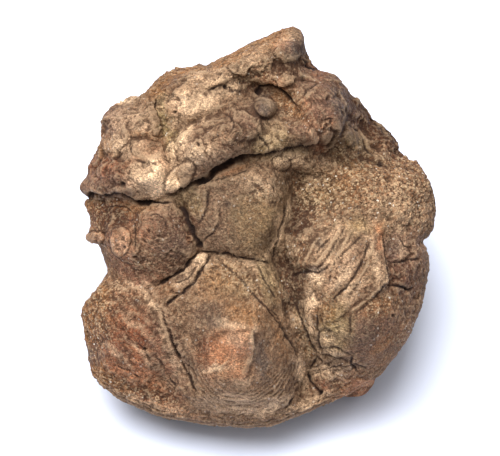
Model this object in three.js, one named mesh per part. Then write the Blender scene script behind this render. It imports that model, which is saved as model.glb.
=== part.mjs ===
// A crinoid fossil still in its matrix: one loose lump of stone, its plated face turned up toward
// -Y, lying on the flat patch of its underside. Millimetres, +Z up, and the origin on the ground
// under the middle of the lump's own box.
import * as THREE from 'three';

// ---- driving dimensions --------------------------------------------------------------------
// The lump is drawn in the plane of its plated face: u runs to the right, v runs up the face and
// w stands out of it. The face is then tipped back and lifted onto the ground.
const FACE_TILT = 55; // degrees that the face looks up from the level
const FACE_HEIGHT = 33; // middle of the face above the ground
const CROWN = 11; // bulge of the face in front of its rim
const BELLY = 45; // depth of the back behind the rim
const FRONT_SQUARE = 2.8; // 2 is a round bulge, more is a boxier one
const BACK_SQUARE = 2.3;
const RIM_DEPTH = 2; // the rim behind the plane of the face
const RIM_LEAN = 0.12; // and further behind it per millimetre up the face
const FALL_DEPTH = 8; // the rim drops back at the upper right shoulder
const FALL_TURN = 38; // degrees from +u to that shoulder
const FALL_HALF = 22; // degrees to either side of it
const FLOOR_ROUNDING = 2.5; // rounding where the underside meets its resting patch
const RELIEF_FADE = 0.3; // share of the crown over which the relief fades to the rim
const HUB_DEPTH = 12; // lumps are pushed outward from this far behind the face
const LUMP_HEIGHT = 0.7; // coarse lumps of the whole surface
const LUMP_SHARE = 0.35; // share of them that the plated face keeps
const RIM_GUARD = 0.1; // band beside the rim where the back's lumps fade to nothing
const TAPER = 2.5; // length over which a ledge dies out at its ends
const CALM_STEP = 3; // degrees between the samples of the calmed outline
const CALM_SIDES = 8; // samples to either side
const RIM_SHARPNESS = 8; // how close to the rim the true outline replaces the calmed one

const MEAN_RADIUS = 44; // of the outline, for spreading the facets evenly
const FRONT_FACET = 1.55; // side of a facet on the plated face
const BACK_FACET = 3.3; // and on the back
const FRONT_RINGS = 31; // rows of facets from the middle of the face to the rim
const BACK_RINGS = 23; // and from the rim to the middle of the back
const GATHER_SHARE = 0.8; // how far the facets' corners are drawn toward the cracks and steps
const GATHER_REACH = 1.4; // from how far
const NARROWEST = 1; // half width of the finest groove that such facets can hold
const STEEPEST = 0.5; // and the softness of the sharpest step

// ---- outline and lines of the plated face, as [u, v] ------------------------------------------
// The broken outline, clockwise from the peak: right shoulder, right lobe, the rounded foot, the
// lower left slab, the waist, the left brow and the top ridge.
const OUTLINE = [
  [9.8, 51.6], [12, 49.8], [12.5, 46], [13.2, 43.2], [16, 40.6], [19.6, 39.2], [23.8, 35.4], [29, 28.8],
  [33.8, 25.2], [36.2, 22], [35.8, 20.8], [39, 18.3], [42.5, 17.2], [45, 12.4], [45.2, 6], [43.2, -0.4],
  [41.3, -2.1], [42.2, -4.5], [43, -7.5], [41.8, -14.6], [39.4, -22], [35.2, -29.2], [29.2, -35.8],
  [20, -41], [10, -45.2], [0.8, -47.9], [-8.2, -47.4], [-18.8, -46], [-28.8, -43], [-35.8, -39.2],
  [-41.2, -34.6], [-43.1, -31.6], [-43.3, -27], [-42.8, -19.6], [-41.2, -16.6], [-38.2, -13.2],
  [-36.5, -10.2], [-36.8, -7.4], [-38.8, -3.2], [-41.2, -1.2], [-40.4, 2.6], [-42, 7], [-41, 8.2],
  [-43.5, 10.6], [-43, 12.8], [-41.6, 14.2], [-42, 16.8], [-39.4, 21], [-38.2, 25], [-39.5, 28.2],
  [-38.8, 30.4], [-37.2, 31.6], [-31.2, 33.2], [-28, 33.8], [-25, 37.6], [-21.8, 39.8], [-16.2, 40.8],
  [-14, 41.8], [-11.8, 41.4], [-5, 45], [1.8, 48.8], [7.4, 51],
];
const MAIN_CRACK = [
  [-47, 9], [-38.8, 8.5], [-33.8, 8.8], [-30, 7.5], [-26.2, 7.5], [-22.5, 8.8], [-18.8, 10.5],
  [-13.8, 13], [-6.8, 17.2], [-3.8, 18.5], [1.2, 18.8], [7.5, 20.2], [15.8, 21.8],
];
const TOP_RIDGE = [[-26.2, 34.2], [-10, 39.2], [-1.2, 43], [10.5, 47.5]];
const GULLY = [[-23.5, 33], [-22, 24], [-20.5, 14]];
const RIGHT_BREAK = [[24.2, 20.5], [24.2, 28], [23.2, 34.2]];
const VALLEY = [
  [9.2, 13], [9.2, 4.2], [6.8, -5.8], [7.5, -14.5], [11.2, -24.5], [14.2, -32.5], [12.5, -39.5],
];
const PLATE_SIDE = [
  [8.8, -18.2], [6.2, -14.5], [4, -8.2], [4.2, -4.5], [6.2, 1.8], [8.2, 9.2], [9.2, 15],
];
const PLATE_LEFT = [[-19.2, 7.5], [-17.8, 4.2], [-16.2, 0.5], [-14, -4.8]];
const PLATE_FOOT = [[-14, -4.8], [-10, -5.2], [-3.8, -6.2], [4.2, -8.2]];
const CENTRE_PLATE = [
  [-13.8, -5], [-5, -6], [3.8, -8], [4.8, -3.2], [6.5, 2.5], [8.2, 8.5], [8.8, 15], [4.2, 17],
  [-1.8, 15.5], [-7.5, 13], [-13.8, 11.5], [-18.8, 9], [-16.2, 2.5], [-13.8, -5],
];
const WEDGE_TOP = [[-14, -4.8], [-16.2, -7.5], [-20.8, -11.5], [-25, -13.5]];
const WEDGE_FOOT = [[-10.8, -5.8], [-13, -8.2], [-14.2, -11.2], [-16.2, -14], [-21.8, -17.8]];
const LEFT_CRACK = [[-23.8, -20], [-20.8, -27.5], [-16.8, -35.2], [-14.5, -39.8]];
const RIB_EDGE = [[33.6, -15.5], [32.8, -7.5], [32, 2.5]];
const FAN_EDGE = [[27, 7], [16.2, 1], [12.2, -2.5], [11.2, -8.2], [11.4, -11]];

// ---- relief of the plated face -----------------------------------------------------------------
// Hills and hollows: middle [u, v], half sizes along and across, turn in degrees, height, and how
// flat the top is (1 is a bell, more is a plateau with steeper sides).
const HILLS = [
  { name: 'upper mass', at: [-10, 27], half: [26, 13], turn: 14, height: 4, flat: 2 },
  { name: 'upper left block', at: [-32, 24.5], half: [7.5, 7], turn: 0, height: 4, flat: 2.5 },
  { name: 'left brow', at: [-32, 14], half: [9, 4.6], turn: 5, height: 5, flat: 2 },
  { name: 'left cheek', at: [-24, 13.5], half: [4, 4.5], turn: 0, height: 3.5, flat: 1.2 },
  { name: 'pale step', at: [-15.5, 31.5], half: [6, 2.8], turn: 10, height: 2.5, flat: 1.5 },
  { name: 'centre hump', at: [-9.5, 22.5], half: [11, 5.2], turn: 22, height: 5.5, flat: 2 },
  { name: 'hump top', at: [-6, 27], half: [7, 4], turn: 10, height: 2, flat: 1.5 },
  { name: 'top hollow', at: [1.5, 35.2], half: [8, 3.2], turn: -22, height: -6, flat: 1 },
  { name: 'ball cavity', at: [7, 31], half: [6, 4.5], turn: -30, height: -3.5, flat: 1.5 },
  { name: 'ball', at: [2.5, 31], half: [2.7, 2.7], turn: 0, height: 4.5, flat: 2 },
  { name: 'small plates', at: [11.5, 24.5], half: [5.5, 3], turn: 0, height: 1.5, flat: 2 },
  { name: 'upper right block', at: [17.5, 31], half: [6.5, 9], turn: -25, height: 6, flat: 2.5 },
  { name: 'right fall', at: [31, 25], half: [5.5, 12], turn: 42, height: -3, flat: 1.5 },
  { name: 'right hollow', at: [26, 22], half: [5, 4], turn: -40, height: -2, flat: 1 },
  { name: 'sandy shoulder', at: [35, 9], half: [10, 8], turn: 0, height: 3, flat: 2 },
  { name: 'sandy hollow', at: [14, 9], half: [8, 7], turn: 0, height: -4, flat: 1.2 },
  { name: 'centre plate', at: [-4.5, 6.5], half: [12, 11.5], turn: -8, height: 3, flat: 4 },
  { name: 'left middle block', at: [-26, -1], half: [11, 8.5], turn: 0, height: 4.5, flat: 2 },
  { name: 'rosette', at: [-34, -1.5], half: [2.8, 2.8], turn: 0, height: 1.6, flat: 2 },
  { name: 'bump', at: [-26.8, 0], half: [2.6, 2.6], turn: 0, height: 1.4, flat: 1 },
  { name: 'left waist', at: [-33, -13], half: [8, 4], turn: -20, height: -1.5, flat: 1 },
  { name: 'boss', at: [-4.2, -27.5], half: [13.5, 15], turn: 8, height: 11, flat: 1.2 },
  { name: 'boss tip', at: [-2.4, -25], half: [4.5, 5], turn: 0, height: 3, flat: 1.3 },
  { name: 'boss foot', at: [-5, -39], half: [12, 5], turn: 0, height: 2.5, flat: 1.5 },
  { name: 'lower left slab', at: [-31, -25.5], half: [11, 11], turn: 0, height: 4, flat: 2.5 },
  { name: 'slab hollow', at: [-25, -36], half: [7, 4], turn: -25, height: -1.5, flat: 1 },
  { name: 'right lobe', at: [25, -17], half: [13.5, 19], turn: 22, height: 8.5, flat: 1.7 },
  { name: 'lobe cheek', at: [29.5, -26], half: [8, 7], turn: 30, height: 2.5, flat: 1.2 },
  { name: 'lower nook', at: [16, -36], half: [6, 4], turn: 10, height: -1.5, flat: 1 },
  { name: 'side block', at: [38, -6.5], half: [4.5, 7], turn: 0, height: 2.5, flat: 2 },
];
// Ridges and grooves along a line: height, half width, and how steep the sides are.
const FOLDS = [
  { line: TOP_RIDGE, height: 4, half: 3.5, steep: 2 },
  { line: VALLEY, height: -4.5, half: 3.2, steep: 2 },
  { line: GULLY, height: -2.2, half: 2.2, steep: 2 },
  { line: MAIN_CRACK, height: -2.8, half: 0.8, steep: 1.5 },
  { line: LEFT_CRACK, height: -2.5, half: 0.9, steep: 1.5 },
  { line: WEDGE_TOP, height: -1.8, half: 0.7, steep: 1.5 },
  { line: WEDGE_FOOT, height: -1.2, half: 0.5, steep: 1.5 },
  { line: PLATE_LEFT, height: -1.6, half: 1, steep: 1.5 },
  { line: PLATE_FOOT, height: -1.2, half: 0.5, steep: 1.5 },
];
// Ledges: the ground to the left of the line, or inside a closed one, stands up by rise and slopes
// back down over reach; edge is the softness of the step itself.
const LEDGES = [
  { line: MAIN_CRACK, rise: 3.5, reach: 7, edge: 0.35 },
  { line: PLATE_SIDE, rise: 3, reach: 8, edge: 0.5 },
  { line: RIGHT_BREAK, rise: 3, reach: 6, edge: 0.6 },
  { line: RIB_EDGE, rise: 1.6, reach: 4, edge: 0.3 },
  { line: CENTRE_PLATE, rise: 2, reach: 14, edge: 0.4 },
  { line: FAN_EDGE, rise: 1.6, reach: 8, edge: 0.4 },
];
// The lines that need the sharpest facets.
const SHARP_LINES = [
  MAIN_CRACK, PLATE_SIDE, PLATE_LEFT, PLATE_FOOT, RIGHT_BREAK, RIB_EDGE, FAN_EDGE, LEFT_CRACK, WEDGE_TOP,
  WEDGE_FOOT,
];

// ---- the broken sides and back -------------------------------------------------------------------
// Break faces: the direction [u, v, w] that each looks in, its distance from the middle of the face
// and the rounding of its edges.
const BREAKS = [
  { looks: [-0.85, -0.1, 0.52], distance: 39, rounding: 1.5 },
  { looks: [0.62, 0.35, -0.7], distance: 43, rounding: 3 },
  { looks: [-0.5, 0.55, -0.67], distance: 42, rounding: 3 },
  { looks: [-0.8, -0.3, -0.5], distance: 42, rounding: 3 },
  { looks: [0.75, -0.3, -0.6], distance: 42, rounding: 3 },
  { looks: [0, 0.83, -0.56], distance: 45.5, rounding: 3 },
  { looks: [0.3, -0.8, -0.5], distance: 42, rounding: 4 },
  { looks: [0.9, 0.35, -0.25], distance: 44, rounding: 2 },
  { looks: [-0.9, 0.35, -0.35], distance: 42, rounding: 2 },
];
// Knobs and scars of the back: middle [u, v, w], radius and height.
const KNOBS = [
  { at: [-30, 30, -22], radius: 9, height: 2.5 },
  { at: [8, 42, -28], radius: 10, height: -2.5 },
  { at: [30, 26, -24], radius: 9, height: 2.5 },
  { at: [-16, 38, -36], radius: 8, height: 2.5 },
  { at: [38, -8, -16], radius: 8, height: 2 },
  { at: [-40, -24, -12], radius: 8, height: -2 },
  { at: [-38, 8, -18], radius: 9, height: 2.5 },
  { at: [20, 34, -44], radius: 9, height: 2.5 },
  { at: [-8, 44, -14], radius: 7, height: 2 },
  { at: [22, -38, -8], radius: 8, height: 1.5 },
  { at: [-20, -40, -8], radius: 9, height: 1.5 },
  { at: [40, 10, -26], radius: 8, height: -2 },
  { at: [-28, 14, -40], radius: 9, height: -2 },
];

// ---- helpers -----------------------------------------------------------------------------------
const { sin, cos, exp, hypot, abs, min, max, floor, round, PI } = Math;
const radians = THREE.MathUtils.degToRad;
const FULL_TURN = 2 * PI;

// 0 at and below zero, 1 at and above one, with level ends between.
const ease = (share) => THREE.MathUtils.smoothstep(share, 0, 1);

// The part of value above zero, with a bend of the given half width instead of a corner.
function above(value, rounding) {
  if (value > rounding) return value;
  if (value < -rounding) return 0;
  return (value + rounding) ** 2 / (4 * rounding);
}

// ---- outline -----------------------------------------------------------------------------------
const rays = OUTLINE
  .map(([u, v]) => ({ turn: (Math.atan2(v, u) + FULL_TURN) % FULL_TURN, radius: hypot(u, v) }))
  .sort((a, b) => a.turn - b.turn);

// The outline point counted from the first one, once more round where the count runs over.
function ray(count) {
  const laps = floor(count / rays.length);
  const { turn, radius } = rays[count - laps * rays.length];
  return { turn: turn + laps * FULL_TURN, radius };
}

// Slope of the outline's radius at one of its points, from the two beside it.
function slopeAt(count) {
  const before = ray(count - 1);
  const after = ray(count + 1);
  return (after.radius - before.radius) / (after.turn - before.turn);
}

// Radius of the broken outline in a direction: a cubic through its points.
function outlineRadius(direction) {
  const turn = ((direction % FULL_TURN) + FULL_TURN) % FULL_TURN;
  const next = rays.findIndex((point) => point.turn > turn);
  const count = (next < 0 ? rays.length : next) - 1;
  const a = ray(count);
  const b = ray(count + 1);
  const span = b.turn - a.turn;
  const t = (turn - a.turn) / span;
  const bend = (1 - t) * slopeAt(count) - t * slopeAt(count + 1);
  return a.radius + (b.radius - a.radius) * ease(t) + bend * span * t * (1 - t);
}

// The same outline averaged over its neighbourhood, for the ground inside the rim.
function calmRadius(direction) {
  let total = 0;
  let weights = 0;
  for (let k = -CALM_SIDES; k <= CALM_SIDES; k += 1) {
    const weight = cos((k / (CALM_SIDES + 1)) * (PI / 2)) ** 2;
    total += weight * outlineRadius(direction + radians(CALM_STEP * k));
    weights += weight;
  }
  return total / weights;
}

// ---- relief ------------------------------------------------------------------------------------
function hillHeight(u, v, { at, half, turn, height, flat }) {
  const c = cos(radians(turn));
  const s = sin(radians(turn));
  const a = ((u - at[0]) * c + (v - at[1]) * s) / half[0];
  const b = (-(u - at[0]) * s + (v - at[1]) * c) / half[1];
  return height * exp(-((a * a + b * b) ** flat));
}

// Nearest point of a line: the way to it, its distance, whether the place asked for lies to the
// line's left, and how far along the line the nearer end is.
function nearest(u, v, line) {
  let best = { distance: Infinity, left: true, run: 0 };
  let gone = 0;
  for (let i = 0; i + 1 < line.length; i += 1) {
    const [au, av] = line[i];
    const du = line[i + 1][0] - au;
    const dv = line[i + 1][1] - av;
    const span = hypot(du, dv);
    const t = THREE.MathUtils.clamp(((u - au) * du + (v - av) * dv) / (span * span), 0, 1);
    const way = [au + t * du - u, av + t * dv - v];
    const distance = hypot(...way);
    if (distance < best.distance) {
      best = { way, distance, left: du * (v - av) - dv * (u - au) > 0, run: gone + t * span };
    }
    gone += span;
  }
  return { ...best, toEnd: min(best.run, gone - best.run) };
}

// Whether a point lies inside a closed line: a ray to the right crosses it an odd number of times.
function inside(u, v, loop) {
  let odd = false;
  for (let i = 0; i + 1 < loop.length; i += 1) {
    const [au, av] = loop[i];
    const [bu, bv] = loop[i + 1];
    if (av > v !== bv > v && u < au + ((v - av) / (bv - av)) * (bu - au)) odd = !odd;
  }
  return odd;
}

function foldHeight(u, v, { line, height, half, steep }) {
  return height * exp(-((nearest(u, v, line).distance / max(half, NARROWEST)) ** steep));
}

function ledgeHeight(u, v, { line, rise, reach, edge }) {
  const closed = line[0].join() === line.at(-1).join();
  const { distance, left, toEnd } = nearest(u, v, line);
  const high = closed ? inside(u, v, line) : left;
  const share = closed ? 1 : ease(toEnd / TAPER);
  const step = 1 / (1 + exp((high ? -distance : distance) / max(edge, STEEPEST)));
  return rise * share * step * exp(-((distance / reach) ** 2));
}

function relief(u, v) {
  const sum = (list, heightOf) => list.reduce((total, item) => total + heightOf(u, v, item), 0);
  return sum(HILLS, hillHeight) + sum(FOLDS, foldHeight) + sum(LEDGES, ledgeHeight);
}

// Draw a place toward the cracks and steps beside it, so that the facets' corners crowd there.
function gather(u, v, share) {
  return SHARP_LINES.reduce((place, line) => {
    const { way, distance } = nearest(...place, line);
    const pull = share * GATHER_SHARE * exp(-((distance / GATHER_REACH) ** 2));
    return [place[0] + pull * way[0], place[1] + pull * way[1]];
  }, [u, v]);
}

// Coarse lumps of 8 to 15 mm: two products of waves that bend each other.
function lumps(u, v, w) {
  const first = sin(u / 2.1 + 0.7 * sin(v / 3.1)) * sin(v / 2.5 + 1.3 + 0.6 * sin(w / 2.9));
  const second = sin(v / 1.7 + 0.8 * sin(w / 2.3)) * sin(w / 2.2 + 0.4 + 0.7 * sin(u / 3.3));
  return first + second;
}

// ---- the surface -------------------------------------------------------------------------------
// Section of the lump from the middle of the face (latitude 1) over the rim (0) to the middle of
// the back (-1): how far out it is and how high it bulges, both as shares. It is a superellipse.
function section(latitude) {
  const square = latitude >= 0 ? FRONT_SQUARE : BACK_SQUARE;
  const polar = (1 - abs(latitude)) * (PI / 2);
  const bulge = latitude === 0 ? 0 : cos(polar) ** (2 / square);
  return { out: sin(polar) ** (2 / square), bulge };
}

// One point of the lump in face coordinates.
function surfacePoint(direction, latitude) {
  const front = latitude >= 0;
  const { out, bulge } = section(latitude);
  const calm = calmRadius(direction);
  const radius = (calm + (outlineRadius(direction) - calm) * out ** RIM_SHARPNESS) * out;
  const shown = front ? ease(bulge / RELIEF_FADE) : 0;
  const [u, v] = gather(radius * cos(direction), radius * sin(direction), shown);
  const off = THREE.MathUtils.euclideanModulo(direction - radians(FALL_TURN) + PI, FULL_TURN) - PI;
  const fall = FALL_DEPTH * exp(-((off / radians(FALL_HALF)) ** 2));
  const rim = (-RIM_DEPTH - RIM_LEAN * v - fall) * out * out;
  const w = rim + (front ? CROWN : -BELLY) * bulge + relief(u, v) * shown;
  const point = new THREE.Vector3(u, v, w);
  breakOff(point);
  pushOut(point, latitude, shown);
  return point;
}

// Cut the point back to each break face that it stands in front of.
function breakOff(point) {
  for (const { looks, distance, rounding } of BREAKS) {
    const normal = new THREE.Vector3(...looks).normalize();
    point.addScaledVector(normal, -above(point.dot(normal) - distance, rounding));
  }
}

// Push the point away from the hub by the coarse lumps and, behind the rim, by the knobs.
function pushOut(point, latitude, shown) {
  let push = LUMP_HEIGHT * lumps(point.x, point.y, point.z) * (1 - (1 - LUMP_SHARE) * shown);
  for (const { at, radius, height } of KNOBS) {
    const near = point.distanceTo(new THREE.Vector3(...at)) / radius;
    push += height * exp(-(near ** 3)) * (1 - shown);
  }
  push *= 1 - exp(-((latitude / RIM_GUARD) ** 2));
  const hub = new THREE.Vector3(0, 0, -HUB_DEPTH);
  point.addScaledVector(point.clone().sub(hub).normalize(), push);
}

// Tip the face back, lift the lump and press its underside flat onto the ground.
function stand({ x: u, y: v, z: w }) {
  const s = sin(radians(FACE_TILT));
  const c = cos(radians(FACE_TILT));
  const height = above(FACE_HEIGHT + v * c + w * s, FLOOR_ROUNDING);
  return new THREE.Vector3(u, v * s - w * c, height);
}

// ---- the solid -----------------------------------------------------------------------------------
// Rings of points from the middle of the face to the rim, or from the rim to the middle of the back,
// with facets of about one size: each ring has as many points as its length takes.
function ringsOf(amount, square, facet, side) {
  return Array.from({ length: amount }, (_, i) => {
    const latitude = 1 - ((i + 1) / amount) ** (square / 2);
    const count = max(6, round((FULL_TURN * MEAN_RADIUS * section(latitude).out) / facet));
    return { latitude: side * latitude, count };
  });
}

// Triangles between two rings, going round both at once and always closing the shorter diagonal, so
// that the facets' edges run along the steps and cracks. The winding is that of the plated face.
function stitch(points, outer, inner) {
  const corner = (ring, step) => ring.first + (step % ring.count);
  const gap = (a, b) => points[a].distanceTo(points[b]);
  const innerSteps = inner.count > 1 ? inner.count : 0;
  const faces = [];
  let i = 0;
  let k = 0;
  while (i < outer.count || k < innerSteps) {
    const here = corner(outer, i);
    const beside = corner(inner, k);
    const onward = gap(corner(outer, i + 1), beside) <= gap(here, corner(inner, k + 1));
    if (k === innerSteps || (i < outer.count && onward)) {
      i += 1;
      faces.push([here, corner(outer, i), beside]);
    } else {
      k += 1;
      faces.push([here, corner(inner, k), beside]);
    }
  }
  return faces;
}

function lumpGeometry() {
  const rings = [
    { latitude: 1, count: 1 },
    ...ringsOf(FRONT_RINGS, FRONT_SQUARE, FRONT_FACET, 1),
    ...ringsOf(BACK_RINGS, BACK_SQUARE, BACK_FACET, -1).reverse().slice(1),
    { latitude: -1, count: 1 },
  ];
  const points = [];
  for (const ring of rings) {
    ring.first = points.length;
    for (let j = 0; j < ring.count; j += 1) {
      points.push(stand(surfacePoint((j / ring.count) * FULL_TURN, ring.latitude)));
    }
  }

  const faces = [];
  for (let i = 0; i + 1 < rings.length; i += 1) {
    if (i < FRONT_RINGS) faces.push(...stitch(points, rings[i + 1], rings[i]));
    else faces.push(...stitch(points, rings[i], rings[i + 1]).map((face) => face.reverse()));
  }

  const geometry = new THREE.BufferGeometry().setFromPoints(points);
  geometry.setIndex(faces.flat());
  geometry.computeBoundingBox();
  const middle = geometry.boundingBox.getCenter(new THREE.Vector3());
  geometry.translate(-middle.x, -middle.y, 0);
  geometry.computeVertexNormals();
  return geometry;
}

const stone = new THREE.MeshStandardMaterial({ name: 'stone', color: 0x8d7056, roughness: 0.9 });
const fossil = new THREE.Mesh(lumpGeometry(), stone);
fossil.name = 'crinoid_fossil';

const group = new THREE.Group();
group.name = 'crinoid_fossil_part';
group.add(fossil);

export default group;
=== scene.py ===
# %% [markdown]
# # A crinoid fossil in its matrix
#
# A crinoid, or sea lily, is an animal related to starfish. Its body sat in a cup of chalky plates.
# When it died the cup filled with sand and lime, was pressed, and set into one lump of stone. This
# lump shows several cup plates that have cracked and slid over one another, with sandy matrix between
# them, and a broken back. It lies loose on a pale table with its plated face turned up.
#
# The lump is one natural piece, so it is one mesh here. The cells below build it from the outside in:
# the large form that the solid part also has, then the cracks, ribs and grit that only a fine mesh
# can hold, then the colours, and last the table, the lamp and the camera.

import bpy
import numpy as np
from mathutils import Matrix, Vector


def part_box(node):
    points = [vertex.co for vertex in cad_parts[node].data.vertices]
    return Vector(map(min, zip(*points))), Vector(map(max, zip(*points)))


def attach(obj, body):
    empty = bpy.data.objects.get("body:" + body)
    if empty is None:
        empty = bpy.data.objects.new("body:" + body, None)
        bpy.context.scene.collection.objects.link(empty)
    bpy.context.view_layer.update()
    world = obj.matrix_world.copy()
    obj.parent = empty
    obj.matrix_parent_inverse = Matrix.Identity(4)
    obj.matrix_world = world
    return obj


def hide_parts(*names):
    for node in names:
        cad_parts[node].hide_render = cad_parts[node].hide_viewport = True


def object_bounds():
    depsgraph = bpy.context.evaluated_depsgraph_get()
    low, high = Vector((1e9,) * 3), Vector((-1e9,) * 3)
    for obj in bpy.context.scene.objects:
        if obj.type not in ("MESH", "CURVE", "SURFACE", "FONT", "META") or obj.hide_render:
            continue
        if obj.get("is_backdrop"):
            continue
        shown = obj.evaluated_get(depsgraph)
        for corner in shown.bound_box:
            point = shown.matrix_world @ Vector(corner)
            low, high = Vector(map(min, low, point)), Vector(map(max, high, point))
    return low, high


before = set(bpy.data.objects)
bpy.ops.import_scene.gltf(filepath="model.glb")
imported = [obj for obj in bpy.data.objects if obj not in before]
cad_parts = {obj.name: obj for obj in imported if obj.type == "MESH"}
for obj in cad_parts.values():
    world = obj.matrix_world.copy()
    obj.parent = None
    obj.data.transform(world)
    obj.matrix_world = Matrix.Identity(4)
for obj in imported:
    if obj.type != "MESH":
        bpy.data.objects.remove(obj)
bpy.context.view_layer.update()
low, high = [np.array(corner) * 1000 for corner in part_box("crinoid_fossil")]
print("the solid measures, in mm:", np.round(high - low, 1))

# %% [markdown]
# ## The plane of the plated face
#
# The lump is drawn in the plane of its plated face, in millimetres: u runs to the right, v runs up
# the face and w stands out of it. A collector laid the lump on its back, so the face leans back from
# the table. Drawing in the face's own plane keeps every plate edge at the place where a ruler laid on
# the face would find it.

# %% Size and lean of the lump
MM = 0.001
FULL_TURN = 2 * np.pi
FACE_TILT = np.radians(55)  # how far the face looks up from the level
FACE_HEIGHT = 33.0  # middle of the face above the table
CROWN, BELLY = 11.0, 45.0  # bulge of the face before its rim, and of the back behind it
FRONT_SQUARE, BACK_SQUARE = 2.8, 2.3  # 2 is a round bulge, more is a boxier one
RIM_DEPTH, RIM_LEAN = 2.0, 0.12  # the rim lies behind the plane, and more so up the face
FALL_DEPTH = 8.0  # the rim drops back at the upper right shoulder
FALL_TURN, FALL_HALF = np.radians(38), np.radians(22)  # the shoulder's direction and half its width
FLOOR_ROUNDING = 2.5  # rounding round the patch that it rests on
RELIEF_FADE = 0.3  # share of the crown over which the relief fades to the rim
HUB_DEPTH = 12.0  # lumps are pushed outward from this far behind the face
LUMP_HEIGHT, LUMP_SHARE = 0.7, 0.35  # coarse lumps, and the share of them that the face keeps
RIM_GUARD = 0.1  # latitude over which the lumps die out towards the rim
TAPER = 2.5  # length over which a ledge dies out at its ends
CALM_STEP, CALM_SIDES = np.radians(3), 8  # how the outline is averaged for the ground inside it
RIM_SHARPNESS = 8  # how close to the rim the true outline takes over
MEAN_RADIUS = 44.0  # of the outline
VIEW_DISTANCE = 600.0  # from the eye to the plane of the face
VIEW_AIM = (-1.25, 1.0)  # where the eye looks at the plane
VIEW_SPREAD = 1.0115  # places in the plane itself spread by this much


def as_seen(u, v, w):
    """Where a place lands on the plane of the face for an eye over it: what stands nearer to the eye
    spreads out from the line of sight, by distance / (distance - w)."""
    spread = VIEW_SPREAD * VIEW_DISTANCE / (VIEW_DISTANCE - w)
    return VIEW_AIM[0] + (u - VIEW_AIM[0]) * spread, VIEW_AIM[1] + (v - VIEW_AIM[1]) * spread


# The broken outline, clockwise from the peak: right shoulder, right lobe, the rounded foot, the lower
# left slab, the waist, the left brow and the top ridge.
OUTLINE = np.array([
    (9.8, 51.6), (12, 49.8), (12.5, 46), (13.2, 43.2), (16, 40.6), (19.6, 39.2), (23.8, 35.4), (29, 28.8),
    (33.8, 25.2), (36.2, 22), (35.8, 20.8), (39, 18.3), (42.5, 17.2), (45, 12.4), (45.2, 6), (43.2, -0.4),
    (41.3, -2.1), (42.2, -4.5), (43, -7.5), (41.8, -14.6), (39.4, -22), (35.2, -29.2), (29.2, -35.8),
    (20, -41), (10, -45.2), (0.8, -47.9), (-8.2, -47.4), (-18.8, -46), (-28.8, -43), (-35.8, -39.2),
    (-41.2, -34.6), (-43.1, -31.6), (-43.3, -27), (-42.8, -19.6), (-41.2, -16.6), (-38.2, -13.2),
    (-36.5, -10.2), (-36.8, -7.4), (-38.8, -3.2), (-41.2, -1.2), (-40.4, 2.6), (-42, 7), (-41, 8.2),
    (-43.5, 10.6), (-43, 12.8), (-41.6, 14.2), (-42, 16.8), (-39.4, 21), (-38.2, 25), (-39.5, 28.2),
    (-38.8, 30.4), (-37.2, 31.6), (-31.2, 33.2), (-28, 33.8), (-25, 37.6), (-21.8, 39.8), (-16.2, 40.8),
    (-14, 41.8), (-11.8, 41.4), (-5, 45), (1.8, 48.8), (7.4, 51),
])
print("outline points:", len(OUTLINE))

# %% [markdown]
# ## The large relief
#
# Three kinds of form make the relief of the face. A hill is a soft bump or hollow. A fold is a ridge or
# a groove that follows a line. A ledge is a step: the ground on the left of its line, or inside a
# closed one, stands up and slopes back down with distance. The main ledge is the upper mass that has
# slid over the middle plate; the open crack under it runs right across the lump.

# %% Lines, hills, folds and ledges of the face
MAIN_CRACK = [
    (-47, 9), (-38.8, 8.5), (-33.8, 8.8), (-30, 7.5), (-26.2, 7.5), (-22.5, 8.8), (-18.8, 10.5),
    (-13.8, 13), (-6.8, 17.2), (-3.8, 18.5), (1.2, 18.8), (7.5, 20.2), (15.8, 21.8),
]
TOP_RIDGE = [(-26.2, 34.2), (-10, 39.2), (-1.2, 43), (10.5, 47.5)]
GULLY = [(-23.5, 33), (-22, 24), (-20.5, 14)]
RIGHT_BREAK = [(24.2, 20.5), (24.2, 28), (23.2, 34.2)]
VALLEY = [(9.2, 13), (9.2, 4.2), (6.8, -5.8), (7.5, -14.5), (11.2, -24.5), (14.2, -32.5), (12.5, -39.5)]
PLATE_SIDE = [(8.8, -18.2), (6.2, -14.5), (4, -8.2), (4.2, -4.5), (6.2, 1.8), (8.2, 9.2), (9.2, 15)]
PLATE_LEFT = [(-19.2, 7.5), (-17.8, 4.2), (-16.2, 0.5), (-14, -4.8)]
PLATE_FOOT = [(-14, -4.8), (-10, -5.2), (-3.8, -6.2), (4.2, -8.2)]
CENTRE_PLATE = [
    (-13.8, -5), (-5, -6), (3.8, -8), (4.8, -3.2), (6.5, 2.5), (8.2, 8.5), (8.8, 15), (4.2, 17),
    (-1.8, 15.5), (-7.5, 13), (-13.8, 11.5), (-18.8, 9), (-16.2, 2.5), (-13.8, -5),
]
WEDGE_TOP = [(-14, -4.8), (-16.2, -7.5), (-20.8, -11.5), (-25, -13.5)]
WEDGE_FOOT = [(-10.8, -5.8), (-13, -8.2), (-14.2, -11.2), (-16.2, -14), (-21.8, -17.8)]
LEFT_CRACK = [(-23.8, -20), (-20.8, -27.5), (-16.8, -35.2), (-14.5, -39.8)]
RIB_EDGE = [(33.6, -15.5), (32.8, -7.5), (32, 2.5)]
FAN_EDGE = [(27, 7), (16.2, 1), (12.2, -2.5), (11.2, -8.2), (11.4, -11)]

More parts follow.
